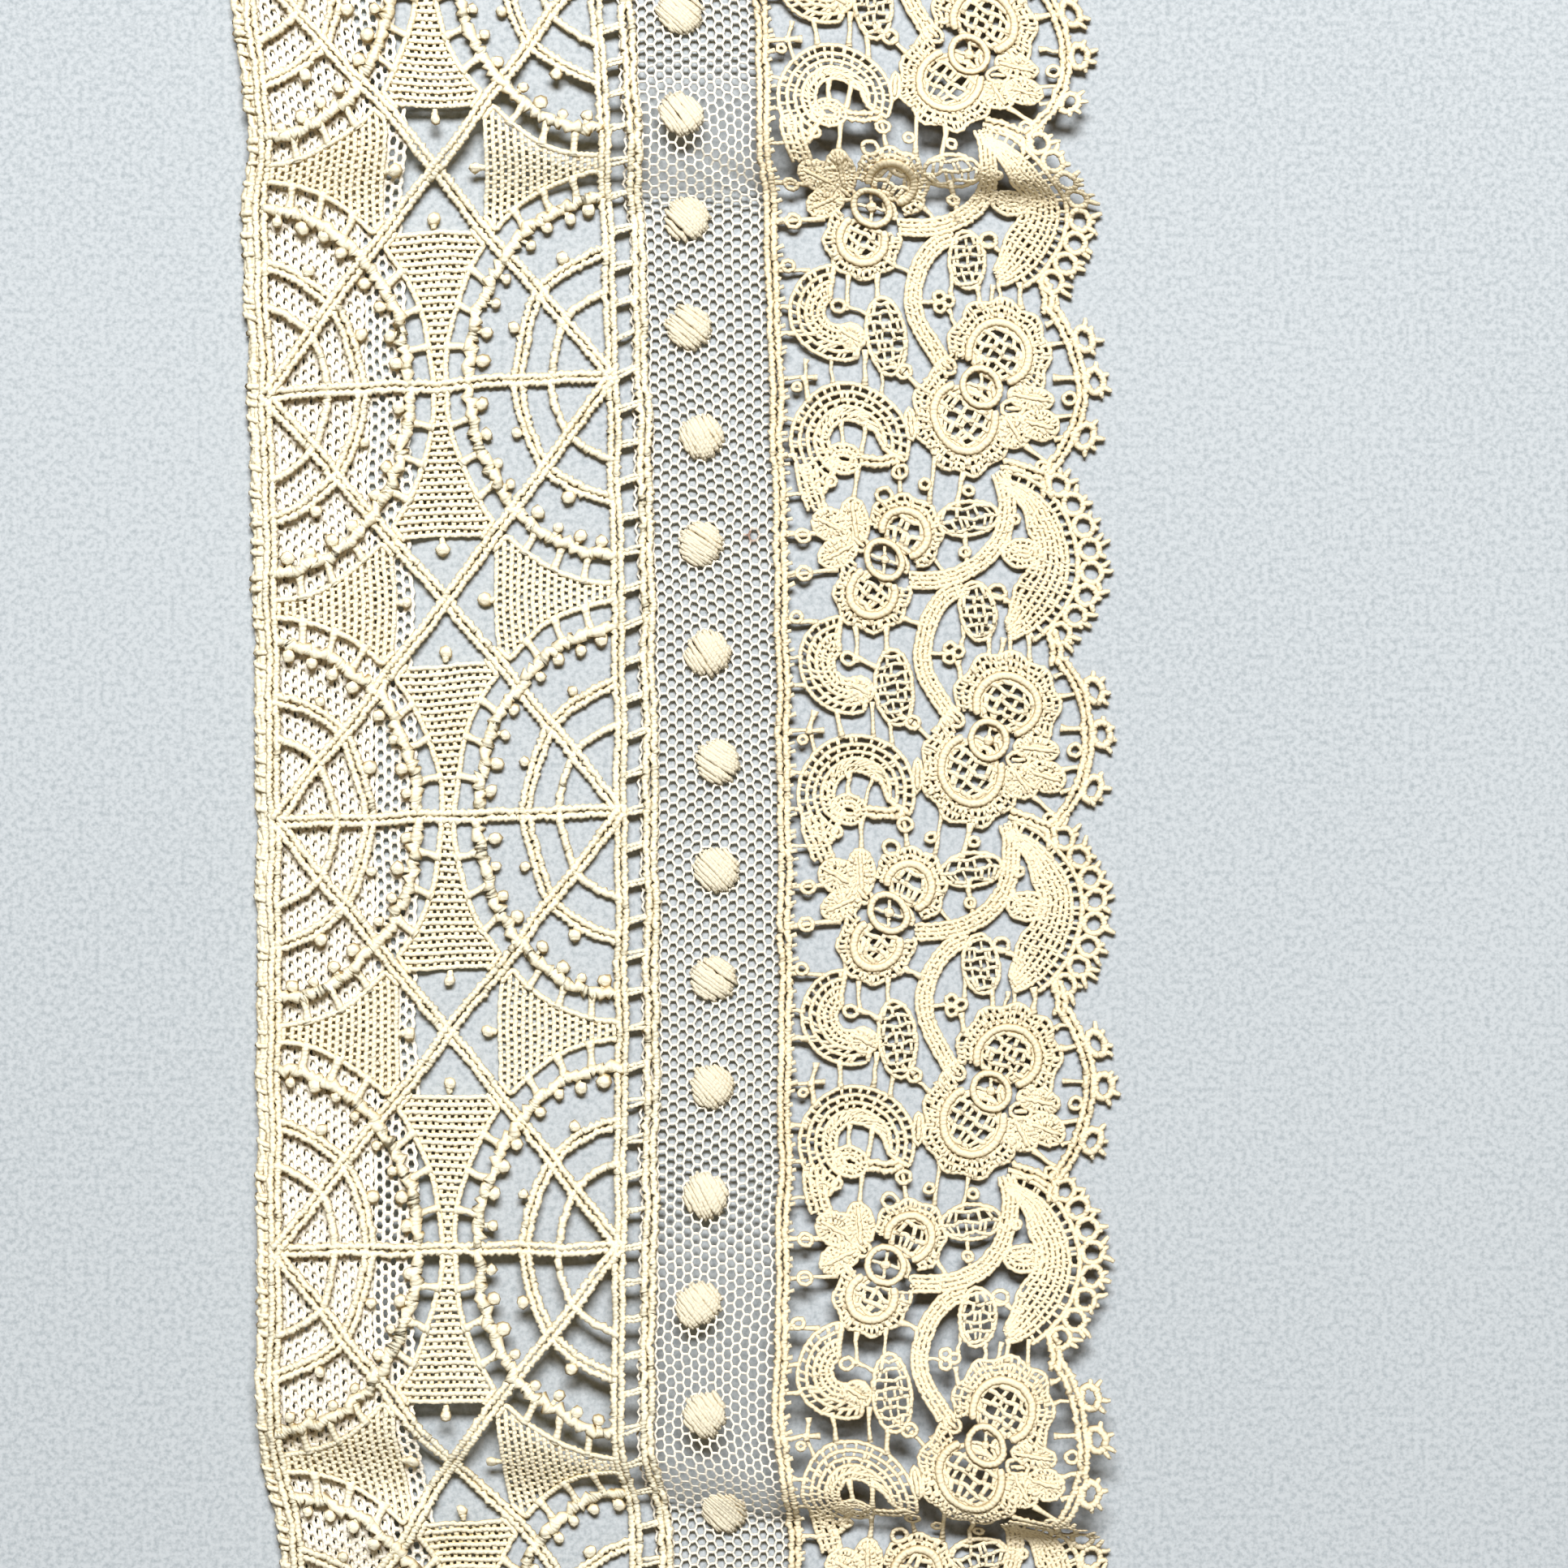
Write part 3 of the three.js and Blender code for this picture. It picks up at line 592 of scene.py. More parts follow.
# Insertion: bars, crossed diagonals and edge cords of two rows each.
insertionCloth = {"node": "insertion", "slotName": "ecru_lace", "lifts": insertionLifts, "leaning": True}
cordLook = {"radius": 0.56, "spread": 0.44, "pitch": 0.84, "dip": 0.38, "height": 0.64, "loose": 0.14}
seamLook = {"radius": 0.6, "spread": 0.47, "pitch": 0.95, "dip": 0.4, "height": 0.66, "loose": 0.2}
singleLook = {"radius": 0.6, "pitch": 0.78, "dip": 0.22, "height": 0.66, "loose": 0.14}
wrapLook = {"radius": 0.94, "pitch": 1.05, "dip": 0.42, "height": 0.82, "squash": 0.86, "loose": 0.24}
brideLook = {"radius": 0.5, "pitch": 0.6, "dip": 0.2, "height": 0.6}
rungLook = {"radius": 0.36, "pitch": 0.6, "dip": 0.14, "height": 0.62, "sides": 4}
crossHeights = {"over": 0.8, "under": 0.66}
ovalSizes = {"main": (17.6, 22.2), "outer": (11.8, 15.6), "inner": (7.7, 10.6), "fan": (20.5, 25.5)}
arcShares = {"outer": (0.55, 0.45), "inner": (0.5, 0.5)}  # of the oval and of the straight line
knotSizes = {
    "radius": 0.86, "height": 0.82, "perSection": 4, "stem": 0.42,
    "stand": 1.5, "stands": (0.8, 1.15), "loose": 0.15, "away": 1.55,
}
ladder = {
    "rungsPerRepeat": 12, "rungSlope": 0.6, "apart": 0.24, "inset": 0.6, "loose": 0.12,
    "bridesPerSection": 3, "brideGrip": 0.1,
}

bars = np.arange(-border["outerBar"], border["outerBar"] + 1) * border["repeat"]
crossings = (bars[:-1] + bars[1:]) / 2
cordClear = 0.3  # how far the long cords stop short of the cut ends
barEnd = halfLength - cordClear


def straight(a, b):
    return np.array([a, b], float)


cords = newThreads()
for cord, look in (("leftCord", cordLook), ("rightCord", cordLook), ("seamCord", seamLook)):
    addCord(cords, straight((border[cord], -barEnd), (border[cord], barEnd)), look)
for bar in bars:
    addCord(cords, straight((border["leftCord"], bar), (border["rightCord"], bar)), cordLook)
for low, high in zip(bars[:-1], bars[1:]):
    for left, right, level in ((low, high, "over"), (high, low, "under")):
        diagonal = straight((border["leftCord"], left), (border["rightCord"], right))
        addCord(cords, diagonal, dict(cordLook, height=crossHeights[level]))


def hubCord(sideways):
    return border["leftCord"] if sideways > 0 else border["rightCord"]


# A point on one quarter of an oval round a bar end, the angle counted from the bar.
def quarterPoint(size, angle, sideways, way, bar):
    across = hubCord(sideways) + sideways * size[0] * np.cos(angle)
    along = bar + way * size[1] * np.sin(angle)
    return np.stack([across, along], -1)


# The diagonal parts each quarter in two.
def sectionEdges(size):
    crossing = math.atan2(size[0] * border["repeat"], size[1] * insertionWidth)
    return [(0.0, crossing), (crossing, math.pi / 2)]


def flatArc(name, start, stop, place, count):
    size, (bent, flat) = ovalSizes[name], arcShares[name]
    line = straight(quarterPoint(size, start, *place), quarterPoint(size, stop, *place))
    return bent * quarterPoint(size, np.linspace(start, stop, count), *place) + flat * evenly(line, count)


# Knots on stems inside the ring, and brides from it to the fans.
def addRingSection(place, start, stop):
    main, count = ovalSizes["main"], knotSizes["perSection"]
    share = (np.arange(count) + 0.75) / (count + 0.5)
    foot = quarterPoint(main, start + (stop - start) * share, *place)
    inward = (np.array([hubCord(place[0]), place[2]]) - foot) / np.square(main)
    inward /= np.linalg.norm(inward, axis=1, keepdims=True)
    tip = foot + inward * knotSizes["stand"] * rng.uniform(*knotSizes["stands"], (count, 1))
    tip = tip + rng.normal(0, knotSizes["loose"], foot.shape)
    addStitches(ovals, foot, tip, dict(brideLook, radius=knotSizes["stem"]))
    addKnots(ovals, np.column_stack([tip, np.full(count, knotSizes["height"])]), knotSizes["radius"])
    count = ladder["bridesPerSection"]
    turns = start + (stop - start) * (np.arange(count) + 1) / (count + 1)
    for near, far in zip(quarterPoint(main, turns, *place), quarterPoint(ovalSizes["fan"], turns, *place)):
        addBride(ovals, near, far + ladder["brideGrip"] * (far - near), brideLook)


ovals = newThreads()
quarters = [
    (sideways, way, bar)
    for bar in bars for sideways in (1, -1) for way in (1, -1)
    if abs(bar + way) < bars[-1]
]
ringGap = 0.02  # angle left free at either end of a quarter
ring = np.linspace(ringGap, math.pi / 2 - ringGap, 40)
for place in quarters:
    addRow(ovals, quarterPoint(ovalSizes["main"], ring, *place), wrapLook)
    for start, stop in sectionEdges(ovalSizes["main"]):
        addRingSection(place, start, stop)
    for start, stop in sectionEdges(ovalSizes["outer"]):
        arc = flatArc("outer", start, stop, place, 9)
        addCord(cords, arc, cordLook)
        away = np.array(place[:2]) / ovalSizes["outer"]
        knot = arc[len(arc) // 2] + away / np.linalg.norm(away) * knotSizes["away"]
        addKnots(ovals, [[*knot, knotSizes["height"]]], knotSizes["radius"])
    for start, stop in sectionEdges(ovalSizes["inner"]):
        addRow(cords, flatArc("inner", start, stop, place, 7), singleLook)

# Rungs between the right cord and the seam cord, each of two threads.
pitch = border["repeat"] / ladder["rungsPerRepeat"]
for rung in np.arange(bars[0] + pitch, bars[-1] - 0.1, pitch):
    for way in (-ladder["apart"], ladder["apart"]):
        lean = rng.normal(0, ladder["loose"], 2)
        left = (border["rightCord"] + ladder["inset"], rung + way + lean[0])
        right = (border["seamCord"] - ladder["inset"], rung + way + lean[1] + ladder["rungSlope"])
        addRow(ovals, straight(left, right), rungLook)

# Fans: rows of stitches across, open between, held by a cord at either side.
fanLook = {"radius": 0.4, "pitch": 0.92, "dip": 0.16, "height": 0.55, "sides": 4, "loose": 0.11}
fanRibLook = {"radius": 0.41, "height": 0.34, "rise": 0.03}
sideRibLook = dict(fanRibLook, radius=0.32)
fanSideLook = {"radius": 0.42, "pitch": 0.7, "dip": 0.15, "height": 0.6}
fanSizes = {
    "rowPitch": 0.92, "first": 1.1, "arch": 0.003, "least": 0.45, "mostPits": 12, "pitInset": 0.3,
    "windowAlong": 7.5, "windowAcross": 6.1, "clearAlong": 1.35, "clearAcross": 1.6875,
    "knotAway": 1.25, "knotHeight": 0.75,
}


def fanHalf(t, lengthwise):
    (across, along), width, repeat = ovalSizes["fan"], insertionWidth, border["repeat"]
    clear = fanSizes["clearAlong"]
    if not lengthwise:
        across, along, width, repeat = along, across, repeat, width
        clear = fanSizes["clearAcross"]
    bow = width / 2 - across * np.sqrt(np.maximum(0, 1 - (t / along) ** 2))
    slope = (repeat / 2 - t) * width / repeat
    return np.maximum(fanSizes["least"], np.minimum(bow, slope - clear))


def addFan(threads, tip, direction, lengthwise):
    if lengthwise:
        reach, rib = border["repeat"] / 2 - fanSizes["windowAlong"], fanRibLook
    else:
        reach, rib = insertionWidth / 2 - fanSizes["windowAcross"], sideRibLook

    def placed(s, t):
        along = direction * (t - fanSizes["arch"] * s**2)
        return np.stack([tip[0] + s, tip[1] + along] if lengthwise else [tip[0] + along, tip[1] + s], -1)

    depths = np.arange(fanSizes["first"], reach + 0.01, fanSizes["rowPitch"])
    half = fanHalf(depths, lengthwise)
    for number, (t, most) in enumerate(zip(depths, half)):
        addRow(threads, placed(np.linspace(-most, most, 9), t), fanLook)
        if number + 1 < len(depths):
            spots = np.arange(-fanSizes["mostPits"], fanSizes["mostPits"] + 1) + 0.5 * (number % 2)
            spots = spots * fanSizes["rowPitch"]
            spots = spots[np.abs(spots) < min(most, half[number + 1]) - fanSizes["pitInset"]]
            if len(spots):
                addStitches(threads, placed(spots, t), placed(spots, t + fanSizes["rowPitch"]), rib)
    t = np.linspace(0.2, reach, 40)
    for way in (-1, 1):
        addRow(threads, placed(way * fanHalf(t, lengthwise), t), fanSideLook)
    knot = placed(0.0, reach + fanSizes["knotAway"])
    addKnots(threads, [[*knot, fanSizes["knotHeight"]]], knotSizes["radius"])
    addRow(threads, np.stack([placed(0.0, reach), knot]), brideLook)


fans = newThreads()
for bar in bars:
    for way in (1, -1):
        if abs(bar + way) < bars[-1]:
            addFan(fans, (insertionMiddle, bar), way, True)
for crossing in crossings:
    addFan(fans, (border["leftCord"], crossing), 1, False)
    addFan(fans, (border["rightCord"], crossing), -1, False)

insertionCords = finishPiece("insertion_cords", cords, insertionCotton, **insertionCloth)
insertionOvals = finishPiece("insertion_ovals", ovals, insertionCotton, **insertionCloth)
insertionFans = finishPiece("insertion_fans", fans, fanCotton, **insertionCloth)

# Net: threads that swing to and fro and meet their neighbours at every turn.
bandCloth = {"node": "net_band", "slotName": "pale_net"}
bandLook = {"column": 1.06, "pitch": 1.41, "radius": 0.2, "swing": 0.16}
bandLayer = {"left": -5.4, "right": 12.6, "height": 0.6}
bandEnds = (0.45, 0.95)  # how far in from each end its plain rows lie
netForm = {"endInset": 0.4, "endClear": 0.2, "over": 0.04, "looseAlong": 0.05, "looseAcross": 0.04}
netWaves = {"across": [(0.14, 6.7, 3.0), (0.1, 2.3, -2.1)], "along": [(0.16, 17.0, 3.3)]}  # size and lengths
endLook = {"radius": 0.3, "pitch": 0.6, "dip": 0.15, "height": 0.5}


def netSway(waves, v, middle):
    return sum(size * np.sin(v / along + middle / across) for size, along, across in waves)


def addNet(threads, look, left, right, height, barsFrom=-math.inf):
    count = int(round((right - left) / look["column"])) + 1
    beats = int(4 * (halfLength - netForm["endInset"]) / look["pitch"])
    v = np.arange(beats) * look["pitch"] / 2 - halfLength + netForm["endInset"]
    v = v + np.zeros((count, 1))
    way = np.where((np.arange(beats)[None] + np.arange(count)[:, None]) % 2, 1.0, -1.0)
    middle = left + np.arange(count)[:, None] * look["column"]
    u = middle + way * look["swing"] + netSway(netWaves["across"], v, middle)
    v = v + netSway(netWaves["along"], v, middle) + rng.normal(0, netForm["looseAlong"], v.shape)
    u = u + rng.normal(0, netForm["looseAcross"], u.shape)
    most = halfLength - netForm["endClear"]
    walls = np.stack([u, np.clip(v, -most, most), height + netForm["over"] * way], -1)
    addTubes(threads, walls, look["radius"], 4)
    meets = way[:-1] > 0  # bars where two walls come close
    near, far = walls[:-1][meets], walls[1:][meets]
    kept = near[:, 0] > barsFrom
    addTubes(threads, np.stack([near[kept], far[kept]], 1), look["radius"], 4)


# A point s along and p across a line that leans from x, y.
def turned(x, y, s, p, lean):
    cosine, sine = math.cos(lean), math.sin(lean)
    return np.stack([x + s * cosine - p * sine, y + s * sine + p * cosine], -1)


band = newThreads()
addNet(band, bandLook, **bandLayer)
for end in (-1, 1):
    for inset in bandEnds:
        edge = end * (halfLength - inset)
        addRow(band, straight((bandLayer["left"], edge), (bandLayer["right"], edge)), endLook)
netBand = finishPiece("net_band_mesh", band, netCotton, **bandCloth)

# Dots: slanting satin stitches over a low cushion, their ends uneven.
dotLook = {
    "across": 3.6, "first": 6.8, "pitch": 13.35, "size": 2.5, "base": 0.55, "rise": 0.8, "clear": 1.0,
    "stitches": 15, "slant": -47, "slantDrift": 7, "thread": 0.34, "threads": (0.88, 1.15),
    "outline": 1.04, "cushion": 1.12, "shortest": 0.5, "outermost": 0.95,
    "ends": (-0.1, 0.4), "slip": 0.12, "wander": 0.05, "apart": 0.08, "wave": 0.03,
    "taper": [0.6, 0.9, 1, 1, 1, 1, 1, 0.9, 0.6],
    # from the top down, a little off the line
    "shifts": [-1.5, -1.9, -1.7, -2.1, -0.8, -1.1, -0.6, 0.4, 0.2, -0.4, -0.6, -1.1, -1.9, -0.8, 0.0],
}
dots = newThreads()
size, count = dotLook["size"], dotLook["stitches"]
spots = dotLook["first"] + dotLook["pitch"] * np.arange(-20, 21)
spots = spots[np.abs(spots) < halfLength - size - dotLook["clear"]]
for spot, shift in zip(spots[::-1], dotLook["shifts"] + [0.0] * len(spots)):
    lean = math.radians(dotLook["slant"] + rng.normal(0, dotLook["slantDrift"]))
    offset = np.linspace(-dotLook["outermost"], dotLook["outermost"], count) * size
    half = np.sqrt(np.maximum(dotLook["shortest"], (size * dotLook["outline"]) ** 2 - offset**2))
    half = half + rng.uniform(*dotLook["ends"], count)
    s = half[:, None] * np.linspace(-1, 1, len(dotLook["taper"])) + rng.normal(0, dotLook["slip"], (count, 1))
    p = offset[:, None] + rng.normal(0, dotLook["wander"], s.shape)
    p = p + rng.normal(0, dotLook["apart"], (count, 1))
    dome = np.sqrt(np.maximum(0.0, 1 - (np.hypot(s, p) / (size * dotLook["cushion"])) ** 2))
    z = dotLook["base"] + dotLook["rise"] * dome + rng.normal(0, dotLook["wave"], s.shape)
    path = np.concatenate([turned(dotLook["across"] + shift, spot, s, p, lean), z[..., None]], -1)
    radius = dotLook["thread"] * np.array(dotLook["taper"])
    addTubes(dots, path, radius * rng.uniform(*dotLook["threads"], (count, 1)))
netDots = finishPiece("net_band_dots", dots, dotCotton, **bandCloth)

# Backing: one strip of net folded back on itself at the hem, its lower layer without bars near the fold.
backingCloth = {"node": "net_backing", "slotName": "pale_net"}
backingLook = {"column": 0.95, "pitch": 1.44, "radius": 0.355, "swing": 0.13, "endInset": 0.5}
backingLayers = [
    {"left": -52.4, "right": -33.0, "height": 0.58, "barsFrom": -43.0},
    {"left": -51.95, "right": -39.0, "height": 1.1},
]
backing = newThreads()
for layer in backingLayers:
    addNet(backing, backingLook, **layer)
for end in (-1, 1):
    edge = end * (halfLength - backingLook["endInset"])
    for layer in backingLayers:
        ends = straight((backingLayers[0]["left"], edge), (layer["right"], edge))
        addRow(backing, ends, dict(endLook, height=layer["height"]))
netBacking = finishPiece("net_backing_mesh", backing, backingCotton, **backingCloth)

# Hem: the crumpled fold, bound by overcast stitches.
hemLook = {
    "middle": -51.8, "across": 0.58, "height": 1.15, "rise": 0.58, "strands": 6, "radius": 0.5,
    "sizes": (0.62, 1.3), "endInset": 0.4, "step": 0.8, "twist": 0.5, "twists": 0.25, "ripple": 0.3,
    "ripples": (0.5, 1.1), "puff": 0.2, "lowest": 0.5,
}
bindingLook = {
    "pitch": 1.5, "first": 1.5, "last": 1.0, "radius": 0.39, "sizes": (0.8, 1.25), "swell": (0.8, 1.3),
    "over": 0.2, "span": (-0.2, 1.25), "points": 7, "loose": 0.35, "lean": 0.35, "leans": (-0.6, 2.2),
    "lowest": 0.45,
}
hem = newThreads()
most = halfLength - hemLook["endInset"]
along = np.arange(-most, most, hemLook["step"])
count = len(along)
for strand in range(hemLook["strands"]):
    turn = 2 * math.pi * strand / hemLook["strands"]
    drift = hemLook["twist"] * np.sin(np.cumsum(rng.normal(0, hemLook["twists"], count)))
    drift = drift + hemLook["ripple"] * np.sin(along / rng.uniform(*hemLook["ripples"]) + strand)
    puff = 1 + rng.normal(0, hemLook["puff"], count)
    u = hemLook["middle"] + hemLook["across"] * puff * np.cos(turn + drift)
    z = hemLook["height"] + hemLook["rise"] * puff * np.sin(turn + drift)
    path = np.stack([u, along, np.maximum(z, hemLook["lowest"])], -1)
    addTubes(hem, path, hemLook["radius"] * rng.uniform(*hemLook["sizes"], count))
turn = np.linspace(*bindingLook["span"], bindingLook["points"]) * math.pi
slope = np.linspace(-bindingLook["lean"], bindingLook["lean"], bindingLook["points"])
first, last = bindingLook["first"] - halfLength, halfLength - bindingLook["last"]
for spot in np.arange(first, last, bindingLook["pitch"]):
    swell = rng.uniform(*bindingLook["swell"])
    u = hemLook["middle"] + (hemLook["across"] + bindingLook["over"]) * swell * np.cos(turn)
    z = hemLook["height"] + (hemLook["rise"] + bindingLook["over"]) * swell * np.sin(turn)
    v = spot + rng.normal(0, bindingLook["loose"]) + slope * rng.uniform(*bindingLook["leans"])
    path = np.stack([u, v, np.maximum(z, bindingLook["lowest"])], -1)
    addTubes(hem, path, bindingLook["radius"] * rng.uniform(*bindingLook["sizes"]))
netHem = finishPiece("net_backing_hem", hem, insertionCotton, **backingCloth)

# Edging, charted for one repeat: x from the edging cord, y down from the large flower.
edgingCloth = {"node": "edging", "slotName": "ecru_lace", "lifts": edgingLifts}
chart = {"repeat": 43.3, "flowerAt": 9.8, "above": 3, "below": 0.3}  # repeats above, and past the lower end
rowLook = {"radius": 0.36, "pitch": 0.82, "dip": 0.2, "height": 0.6, "loose": 0.13}
ribLook = {"radius": 0.26, "pitch": 0.72, "height": 0.62, "rise": 0.08}
petalRibLook = {"radius": 0.31, "pitch": 0.62, "height": 0.66, "rise": 0.1}
fineLook = {"radius": 0.43, "pitch": 0.8, "dip": 0.18, "height": 0.58}
rimLook = {"radius": 0.56, "pitch": 0.62, "dip": 0.06, "height": 0.86, "sides": 8, "loose": 0.05}
ringLook = dict(rimLook, radius=0.46, height=1.2)
veinLook = dict(rowLook, height=0.82)
meshLook = {"radius": 0.44, "pitch": 0.75, "dip": 0.16, "height": 0.72, "sides": 4, "loose": 0.16}
meshBarLook = {"radius": 0.39, "pitch": 1.1, "height": 0.7}
spokeLook = dict(meshLook, radius=0.3, height=0.8)
openLook = {"radius": 0.32, "pitch": 1.25, "height": 0.56}
openRowLook = {"radius": 0.33, "pitch": 0.8, "dip": 0.14, "height": 0.58}
picotLook = {"radius": 0.55, "pitch": 0.6, "dip": 0.16, "height": 0.56}
loopLook = {"radius": 0.45, "pitch": 0.55, "dip": 0.12, "height": 0.58}
ringPicotLook = dict(loopLook, radius=0.34, height=0.66)
edgeCordLook = {"radius": 0.55, "spread": 0.44, "pitch": 0.85, "dip": 0.38, "height": 0.62, "loose": 0.15}
barForm = {"height": 0.56, "radii": (0.25, 0.38), "grip": 0.55}  # it runs on by its grip at both ends
ovalSteps = 60


def oval(x, y, across, along, turn=0.0, start=0.0, stop=360.0, lobes=0, depth=0.0):
    a = np.radians(np.linspace(start, stop, ovalSteps, endpoint=stop - start < 360))
    swell = 1 + depth * np.cos(lobes * a)
    return turned(x, y, across * swell * np.cos(a), along * swell * np.sin(a), math.radians(turn))


def pointing(turn):
    return np.array([math.cos(turn), math.sin(turn)])


# Flowers: openwork petals in raised rims, with lobed rows outside them.
flowerPetals = [
    # centre, rim and outer size each way, span of the outer rows, lobes, turn of the openwork
    (27.5, -3.9, (3.75, 3.7), (6.5, 6.7), 172, 428, 9, 28),
    (23.1, 3.9, (3.75, 4.15), (6.3, 7.2), -2, 246, 9, 33),
    (15.4, 18.2, (2.8, 2.8), (4.7, 4.8), 185, 432, 8, 22),
    (11.2, 25.5, (2.8, 2.9), (4.8, 5.0), -10, 236, 8, 35),
]
petalForm = {
    "meshInset": 0.3, "ringInset": 0.5, "rimOver": 8, "rowPitch": 0.88, "edge": 0.3, "lobeDepth": 0.055,
}
flowerRings = [{"x": 25.3, "y": 0.3, "size": 2.1}, {"x": 12.7, "y": 21.6, "size": 2.1}]
ringForm = {"long": 1.12, "turn": -40, "spokes": (15, 95), "knot": 0.68, "knotHeight": 0.85, "clear": 1.0}
meshForm = {
    "rowPitch": 1.4, "edge": 0.75, "flattest": 0.05, "wave": 0.2, "waves": 1.9, "turns": 3,
    "shifts": (0.2, 0.8),
}


# Openwork in an oval: rows one way, short bars between them, small holes left.
def addMesh(threads, place, x, y, across, along, turn, rowPitch=meshForm["rowPitch"], thin=1.0):
    row = dict(meshLook, radius=meshLook["radius"] * thin)
    bar = dict(meshBarLook, radius=meshBarLook["radius"] * thin)
    before = None
    most = along - meshForm["edge"]
    for offset in np.linspace(-most, most, round(2 * most / rowPitch) + 1):
        half = across * math.sqrt(max(meshForm["flattest"], 1 - (offset / along) ** 2))
        s = np.linspace(-half, half, max(3, int(half * 3)))
        p = offset + meshForm["wave"] * np.sin(s * meshForm["waves"] + offset * meshForm["turns"])
        path = place(turned(x, y, s, p, math.radians(turn)))
        addRow(threads, path, row)
        if before is not None:
            addJoins(threads, before, path, bar, rng.uniform(*meshForm["shifts"]))
        before = path


def addPetals(place):
    for x, y, rim, outer, start, stop, lobes, meshTurn in flowerPetals:
        rim, outer = np.array(rim), np.array(outer)
        addMesh(flowers, place, x, y, *(rim - petalForm["meshInset"]), meshTurn)
        addRow(flowers, place(oval(x, y, *(rim - petalForm["ringInset"]))), fineLook, closed=True)
        over = petalForm["rimOver"]
        addRow(flowers, place(oval(x, y, *rim, 0, start - over, stop + over)), rimLook)
        reach = outer - petalForm["edge"] - rim
        count = round((outer - rim)[0] / petalForm["rowPitch"])
        rows = []
        for share in np.arange(count + 1) / count:
            depth = petalForm["lobeDepth"] * share
            rows.append(place(oval(x, y, *(rim + reach * share), 0, start, stop, lobes, depth)))
        addCloth(flowers, rows, rowLook, petalRibLook)


def addRings(place):
    for ring in flowerRings:
        centre, size = np.array([ring["x"], ring["y"]]), ring["size"]
        rim = oval(*centre, size, size * ringForm["long"], ringForm["turn"])
        addRow(flowers, place(rim), ringLook, closed=True)
        for turn in np.radians(ringForm["spokes"]):
            reach = pointing(turn) * size
            addRow(flowers, place(np.stack([centre - reach, centre, centre + reach])), spokeLook)
        middle = place(centre[None])
        if abs(middle[0, 1]) < halfLength - ringForm["clear"]:
            addKnots(flowers, np.column_stack([middle, [ringForm["knotHeight"]]]), ringForm["knot"])


# Leaves: close lobes with a vein each, and leaves of openwork.
leafLobes = [
    # centre, half length, half width, turn
    (31.2, 1.5, 3.0, 1.7, 8), (32.3, 4.9, 2.6, 2.2, 15), (29.3, 5.7, 2.4, 2.2, 60),
    (29.0, 2.9, 1.7, 1.3, 0), (26.8, 1.0, 1.6, 0.9, 80), (21.2, -2.3, 1.5, 1.2, 40),
    (15.0, 21.9, 1.5, 0.9, 70), (16.4, 4.9, 2.3, 0.9, 90), (9.3, 16.8, 3.1, 2.0, 85),
    (6.3, 17.1, 2.6, 2.2, 30), (7.0, 20.6, 2.8, 2.0, -25), (9.6, 19.5, 1.6, 1.2, 45),
    (9.6, 37.3, 2.0, 1.8, 30),
]
lobeForm = {"edge": 0.35, "heart": 0.45, "rowPitch": 0.65, "leastLong": 0.5, "leastWide": 0.25, "vein": 0.8}
meshLeaves = [
    # centre, half width, half length, turn
    (13.8, 37.3, 2.3, 4.7, -6), (24.1, 28.0, 2.2, 3.6, -4), (23.1, 16.4, 3.7, 2.1, -9),
]
meshLeafForm = {"rowPitch": 1.2, "thin": 0.76}


def addLeaves(place):
    for x, y, long, wide, turn in leafLobes:
        count = max(1, round((wide - lobeForm["edge"]) / lobeForm["rowPitch"]))
        rows = []
        for inset in np.linspace(lobeForm["edge"], wide - lobeForm["heart"], count):
            half = max(lobeForm["leastLong"], long - inset), max(lobeForm["leastWide"], wide - inset)
            rows.append(place(oval(x, y, *half, turn)))
        addCloth(flowers, rows, rowLook, petalRibLook, closed=True)
        vein = pointing(math.radians(turn)) * (long - lobeForm["vein"])
        addRow(flowers, place(np.array([(x, y) - vein, (x, y) + vein])), veinLook)
    for leaf in meshLeaves:
        addMesh(scrollWork, place, *leaf, **meshLeafForm)
        addRow(scrollWork, place(oval(*leaf)), rowLook, closed=True)


# Scrolls: rows round a centre, the outer ones open, with a tongue and a limb on the large one.
scrolls = [
    # centre, rows as size, start and stop, and how many of the outer spaces are open
    {"x": 8.9, "y": 6.9, "open": 3, "rows": [
        (7.1, 118, 381), (6.05, 118, 379), (5.1, 118, 377),
        (4.2, 118, 373), (3.4, 120, 335), (2.65, 125, 312)]},
    {"x": 8.0, "y": 34.4, "open": 2, "rows": [
        (5.9, 70, 264), (4.85, 62, 262), (3.9, 45, 258), (3.15, 40, 252), (2.4, 46, 246), (1.75, 60, 240)]},
]
tongue = {"at": (8.1, 9.1), "half": (2.5, 2.1), "turn": 15, "insets": (0.35, 1.05, 1.6)}
tongueCord = [(10.2, 9.3), (12.4, 9.5), (14.7, 9.0)]
limb = {"path": [(2.3, 9.6), (2.5, 12.0), (3.6, 15.4)], "shifts": (0.0, 0.8, 1.6, 2.4)}


def addCurl(place, curl):
    (x, y), (long, wide) = curl["at"], curl["half"]
    rows = [place(oval(x, y, long - inset, wide - inset, curl["turn"])) for inset in curl["insets"]]
    addCloth(scrollWork, rows, rowLook, ribLook, closed=True)


